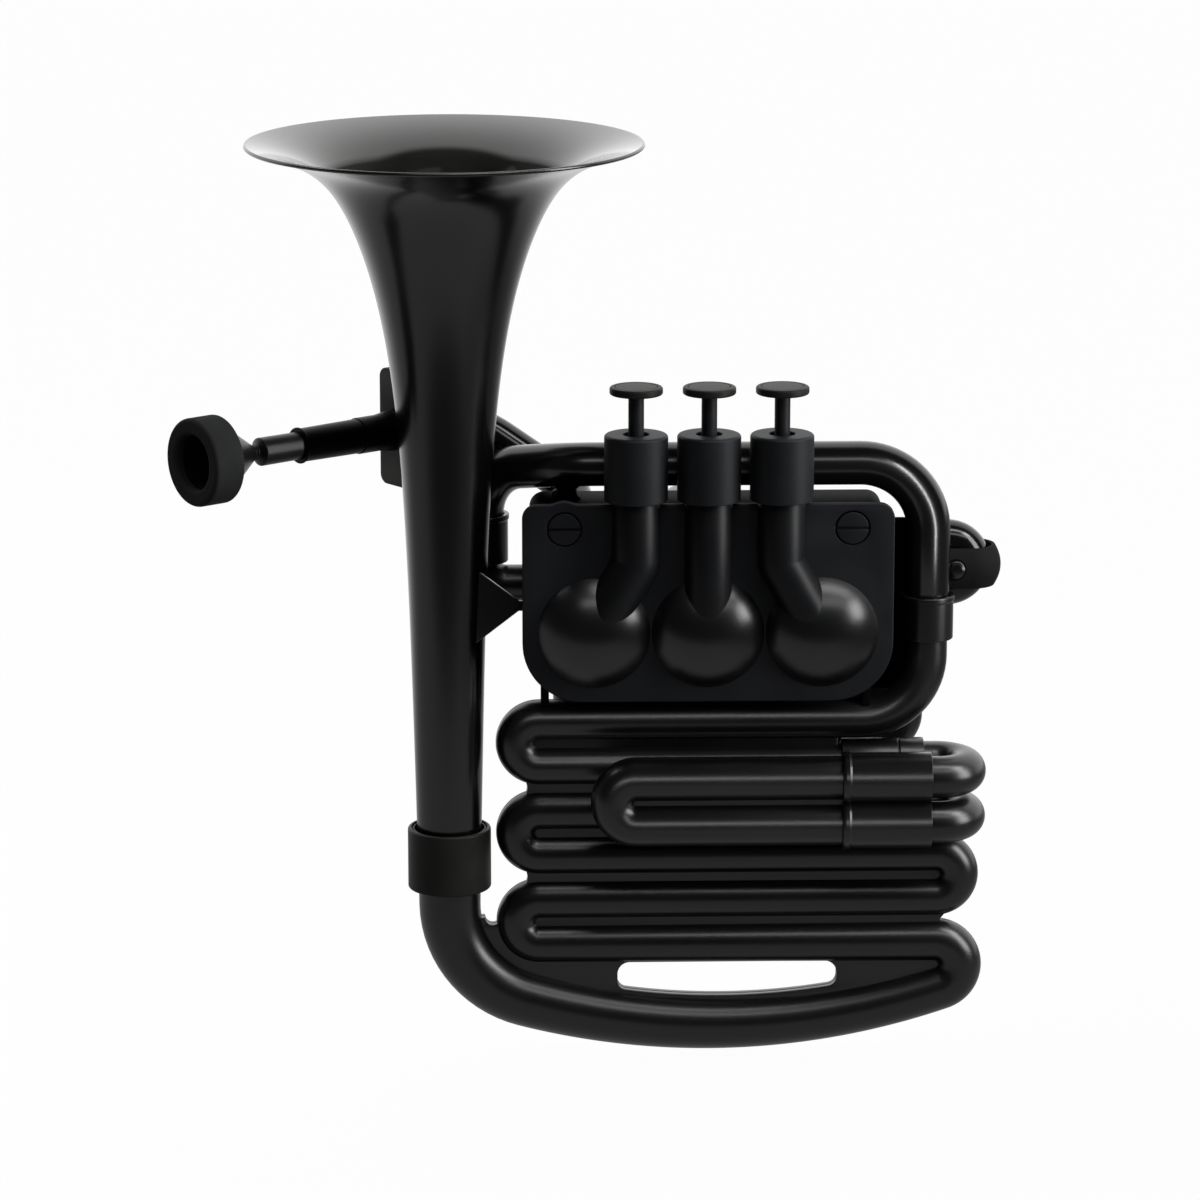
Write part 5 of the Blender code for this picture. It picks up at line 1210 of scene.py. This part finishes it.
STRAP_Z = 166.4
STRAP_END_X = 84.0
STRAP_HALF, STRAP_BULGE = 8.4, 2.6
heights = [8.3 * math.sin(a) for a in spaced(-math.pi / 2.0, math.pi / 2.0, 24)]
bulge = [(9.9 + STRAP_BULGE * (1.0 - (h / STRAP_HALF) ** 2), h) for h in heights]
band = [(8.66, -8.1), (9.7, -STRAP_HALF)] + bulge + [(9.7, STRAP_HALF), (8.66, 8.1)]


def strap_ring(x, a):
    """The band's section where the strap passes at an angle round the loop."""
    out = Vector((math.cos(a), math.sin(a), 0.0))
    return [Vector((x, LOOP_Y, STRAP_Z + h)) + out * r for r, h in band]


front, back = math.pi / 2.0, -math.pi / 2.0
strap = [strap_ring(STRAP_END_X, front)]
strap += [strap_ring(LOOP_3_TURN_X, a) for a in spaced(front, back, 40)]
strap.append(strap_ring(STRAP_END_X, back))
dressed(skinned("loop_strap_look", strap, angle=40.0), "loop_strap")

STUD = (92.2, 12.6, 166.6)
STUD_R = 3.6
stud = [
    (AXIS, 1.4),
    (2.2, 1.3, 1.5),
    (STUD_R, 0.7, 0.5),
    (STUD_R, -0.6, 0.1),
    (1.5, -0.6),
    (1.5, -2.0),
    (AXIS, -2.0),
]
dressed(lathe("strap_stud_look", stud, STUD, FRONT, sides=SMALL_SIDES), "strap_stud")
# A dark matte ring round the stud is painted shade, standing in for the shaded gap round it
seat = [(STUD_R, 0.12, 0.05), (4.3, 0.12, 0.05), (4.3, -1.5), (STUD_R, -1.5)]
gap_shade_ring = lathe("strap_stud_seat_look", seat, STUD, FRONT, sides=SMALL_SIDES)
dressed(gap_shade_ring, "strap_stud", "block_black")


# Floor

FLOOR_WIDE, FLOOR_DEEP = 8.0, 4.5
FLOOR_Y = 1.75
floor_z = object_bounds()[0][2] - 0.0005


def floor_material():
    """White to the camera, with a faint shadow. In reflections it glows with painted light,
    brighter towards the back, with painted shade near the horn and towards the right.
    """
    material = bpy.data.materials.new("floor")
    material.use_nodes = True
    tree = material.node_tree
    paper = tree.nodes["Principled BSDF"]
    paper.inputs["Base Color"].default_value = (0.80, 0.80, 0.80, 1.0)
    paper.inputs["Roughness"].default_value = 0.9
    paper.inputs["Specular IOR Level"].default_value = 0.1
    white = shader_node(tree, "Emission", {"Strength": 1.08})
    # In reflections the floor is a glow of painted light, weaker near the horn and to the right as
    # painted shade
    card = shader_node(tree, "Emission")
    painted_light_behind = ramp(tree, "Y", (0.10 - FLOOR_Y, 0.80 - FLOOR_Y), (0.45, 1.20), smooth=True)
    painted_shade_right = ramp(tree, "X", (0.10, 0.55), (1.0, 0.25), smooth=True)
    tree.links.new(product(tree, painted_light_behind, painted_shade_right), card.inputs["Strength"])
    path = shader_node(tree, "LightPath")
    whiteness = shader_node(tree, "Math", {1: 0.9}, operation="MULTIPLY")
    tree.links.new(path.outputs["Is Camera Ray"], whiteness.inputs[0])
    seen = mixed(tree, whiteness.outputs["Value"], paper.outputs["BSDF"], white.outputs["Emission"])
    surface = mixed(tree, path.outputs["Is Glossy Ray"], seen, card.outputs["Emission"])
    tree.links.new(surface, tree.nodes["Material Output"].inputs["Surface"])
    return material


def floor():
    x, y = FLOOR_WIDE / 2.0, FLOOR_DEEP / 2.0
    mesh = bpy.data.meshes.new("floor")
    mesh.from_pydata([(-x, -y, 0.0), (x, -y, 0.0), (x, y, 0.0), (-x, y, 0.0)], [], [(0, 1, 2, 3)])
    mesh.materials.append(floor_material())
    obj = placed("floor", mesh)
    obj.location = (0.0, FLOOR_Y, floor_z)


floor()


# Lamps

looks = {o.name for o in bpy.context.scene.objects if o.name.endswith("_look")}
stack = {name for name in looks if name.startswith("stack_")}
slide = {"front_hairpin_look", "front_double_ferrule_look"}
tube = {"top_tube_look"}
upper_row = {"stack_front_shell_upper_look"}
domed = {"valve_domes_look"}
block = {"valve_block_look", "block_foot_left_look", "block_foot_right_look"}
dark = block | {"tube_saddle_look", "receiver_look"}
from_side = looks - tube - domed - {"receiver_look"}
from_above = looks - slide - tube - dark
from_front = from_above - stack

# Place, what it faces, width, height, power, and the pieces its light reaches
LAMPS = {
    "right_box": ((0.50, -0.22, 0.42), (0.04, -0.02, 0.42), 0.20, 0.68, 4.6, from_side),
    "dome_box": ((0.50, -0.23, 0.36), (0.04, -0.02, 0.16), 0.20, 0.24, 1.7, domed),
    "high_box": ((0.60, -0.40, 1.25), (0.60, 0.0, 0.10), 1.34, 0.24, 8.0, from_above),
    "mid_box": ((0.30, -1.00, 1.20), (0.30, 0.0, 0.20), 1.60, 0.24, 5.0, from_front),
    "tube_box": ((0.30, -1.10, 0.90), (0.30, 0.0, 0.20), 1.60, 0.24, 3.6, tube),
    "stack_box": ((0.60, -0.84, 1.00), (0.60, 0.0, 0.10), 1.34, 0.18, 4.6, stack),
    "row_box": ((0.30, -1.10, 0.69), (0.30, 0.0, 0.08), 1.60, 0.16, 5.0, upper_row),
    "slide_box": ((0.30, -1.10, 0.40), (0.30, 0.0, 0.08), 1.60, 0.16, 5.0, slide),
    "leg_strip": ((0.70, -0.90, 0.30), (0.08, 0.0, 0.18), 0.12, 1.40, 16.0, tube),
    "left_box": ((-0.80, 0.10, 1.05), (-0.10, 0.0, 0.14), 0.25, 0.25, 1.5, None),
}


def aimed(obj, place, target):
    obj.location = place
    obj.rotation_euler = (Vector(target) - Vector(place)).to_track_quat("-Z", "Y").to_euler()


def softbox(name, place, target, wide, tall, power, reached):
    """A lamp whose light reaches some pieces only, as a card beside it would shade the others."""
    light = bpy.data.lights.new(name, "AREA")
    light.shape = "RECTANGLE"
    light.size = wide
    light.size_y = tall
    light.energy = power
    lamp = placed(name, light)
    aimed(lamp, place, target)
    if reached:
        lamp.light_linking.receiver_collection = bpy.data.collections.new(name)
        for piece in sorted(reached):
            lamp.light_linking.receiver_collection.objects.link(bpy.data.objects[piece])


for name, values in LAMPS.items():
    softbox(name, *values)


# World and camera

world = bpy.data.worlds.new("studio")
bpy.context.scene.world = world
world.use_nodes = True
tree = world.node_tree
white = tree.nodes["Background"]
white.inputs["Color"].default_value = (1.0, 1.0, 1.0, 1.0)
around = shader_node(tree, "Background")
path = shader_node(tree, "LightPath")
behind = ramp(tree, "Y", (0.10, 0.30), (0.03, 1.0), space="Generated", smooth=True)
reflected = shader_node(tree, "MapRange", {"To Min": 0.5, "To Max": 2.0})
tree.links.new(path.outputs["Is Glossy Ray"], reflected.inputs["Value"])
strength = product(tree, behind, reflected.outputs["Result"])
tree.links.new(strength, around.inputs["Strength"])
backdrop = (around.outputs["Background"], white.outputs["Background"])
surface = mixed(tree, path.outputs["Is Camera Ray"], *backdrop)
tree.links.new(surface, tree.nodes["World Output"].inputs["Surface"])

target = Vector((-0.0517, 0.0, 0.1581))
lens = bpy.data.cameras.new("camera")
lens.sensor_width = 36.0
lens.lens = 147.0
lens.clip_end = 50.0
camera = placed("camera", lens)
aimed(camera, target + Vector((-0.0498, -1.9027, 0.4675)), target)
bpy.context.scene.camera = camera
bpy.context.scene.view_settings.view_transform = "Standard"
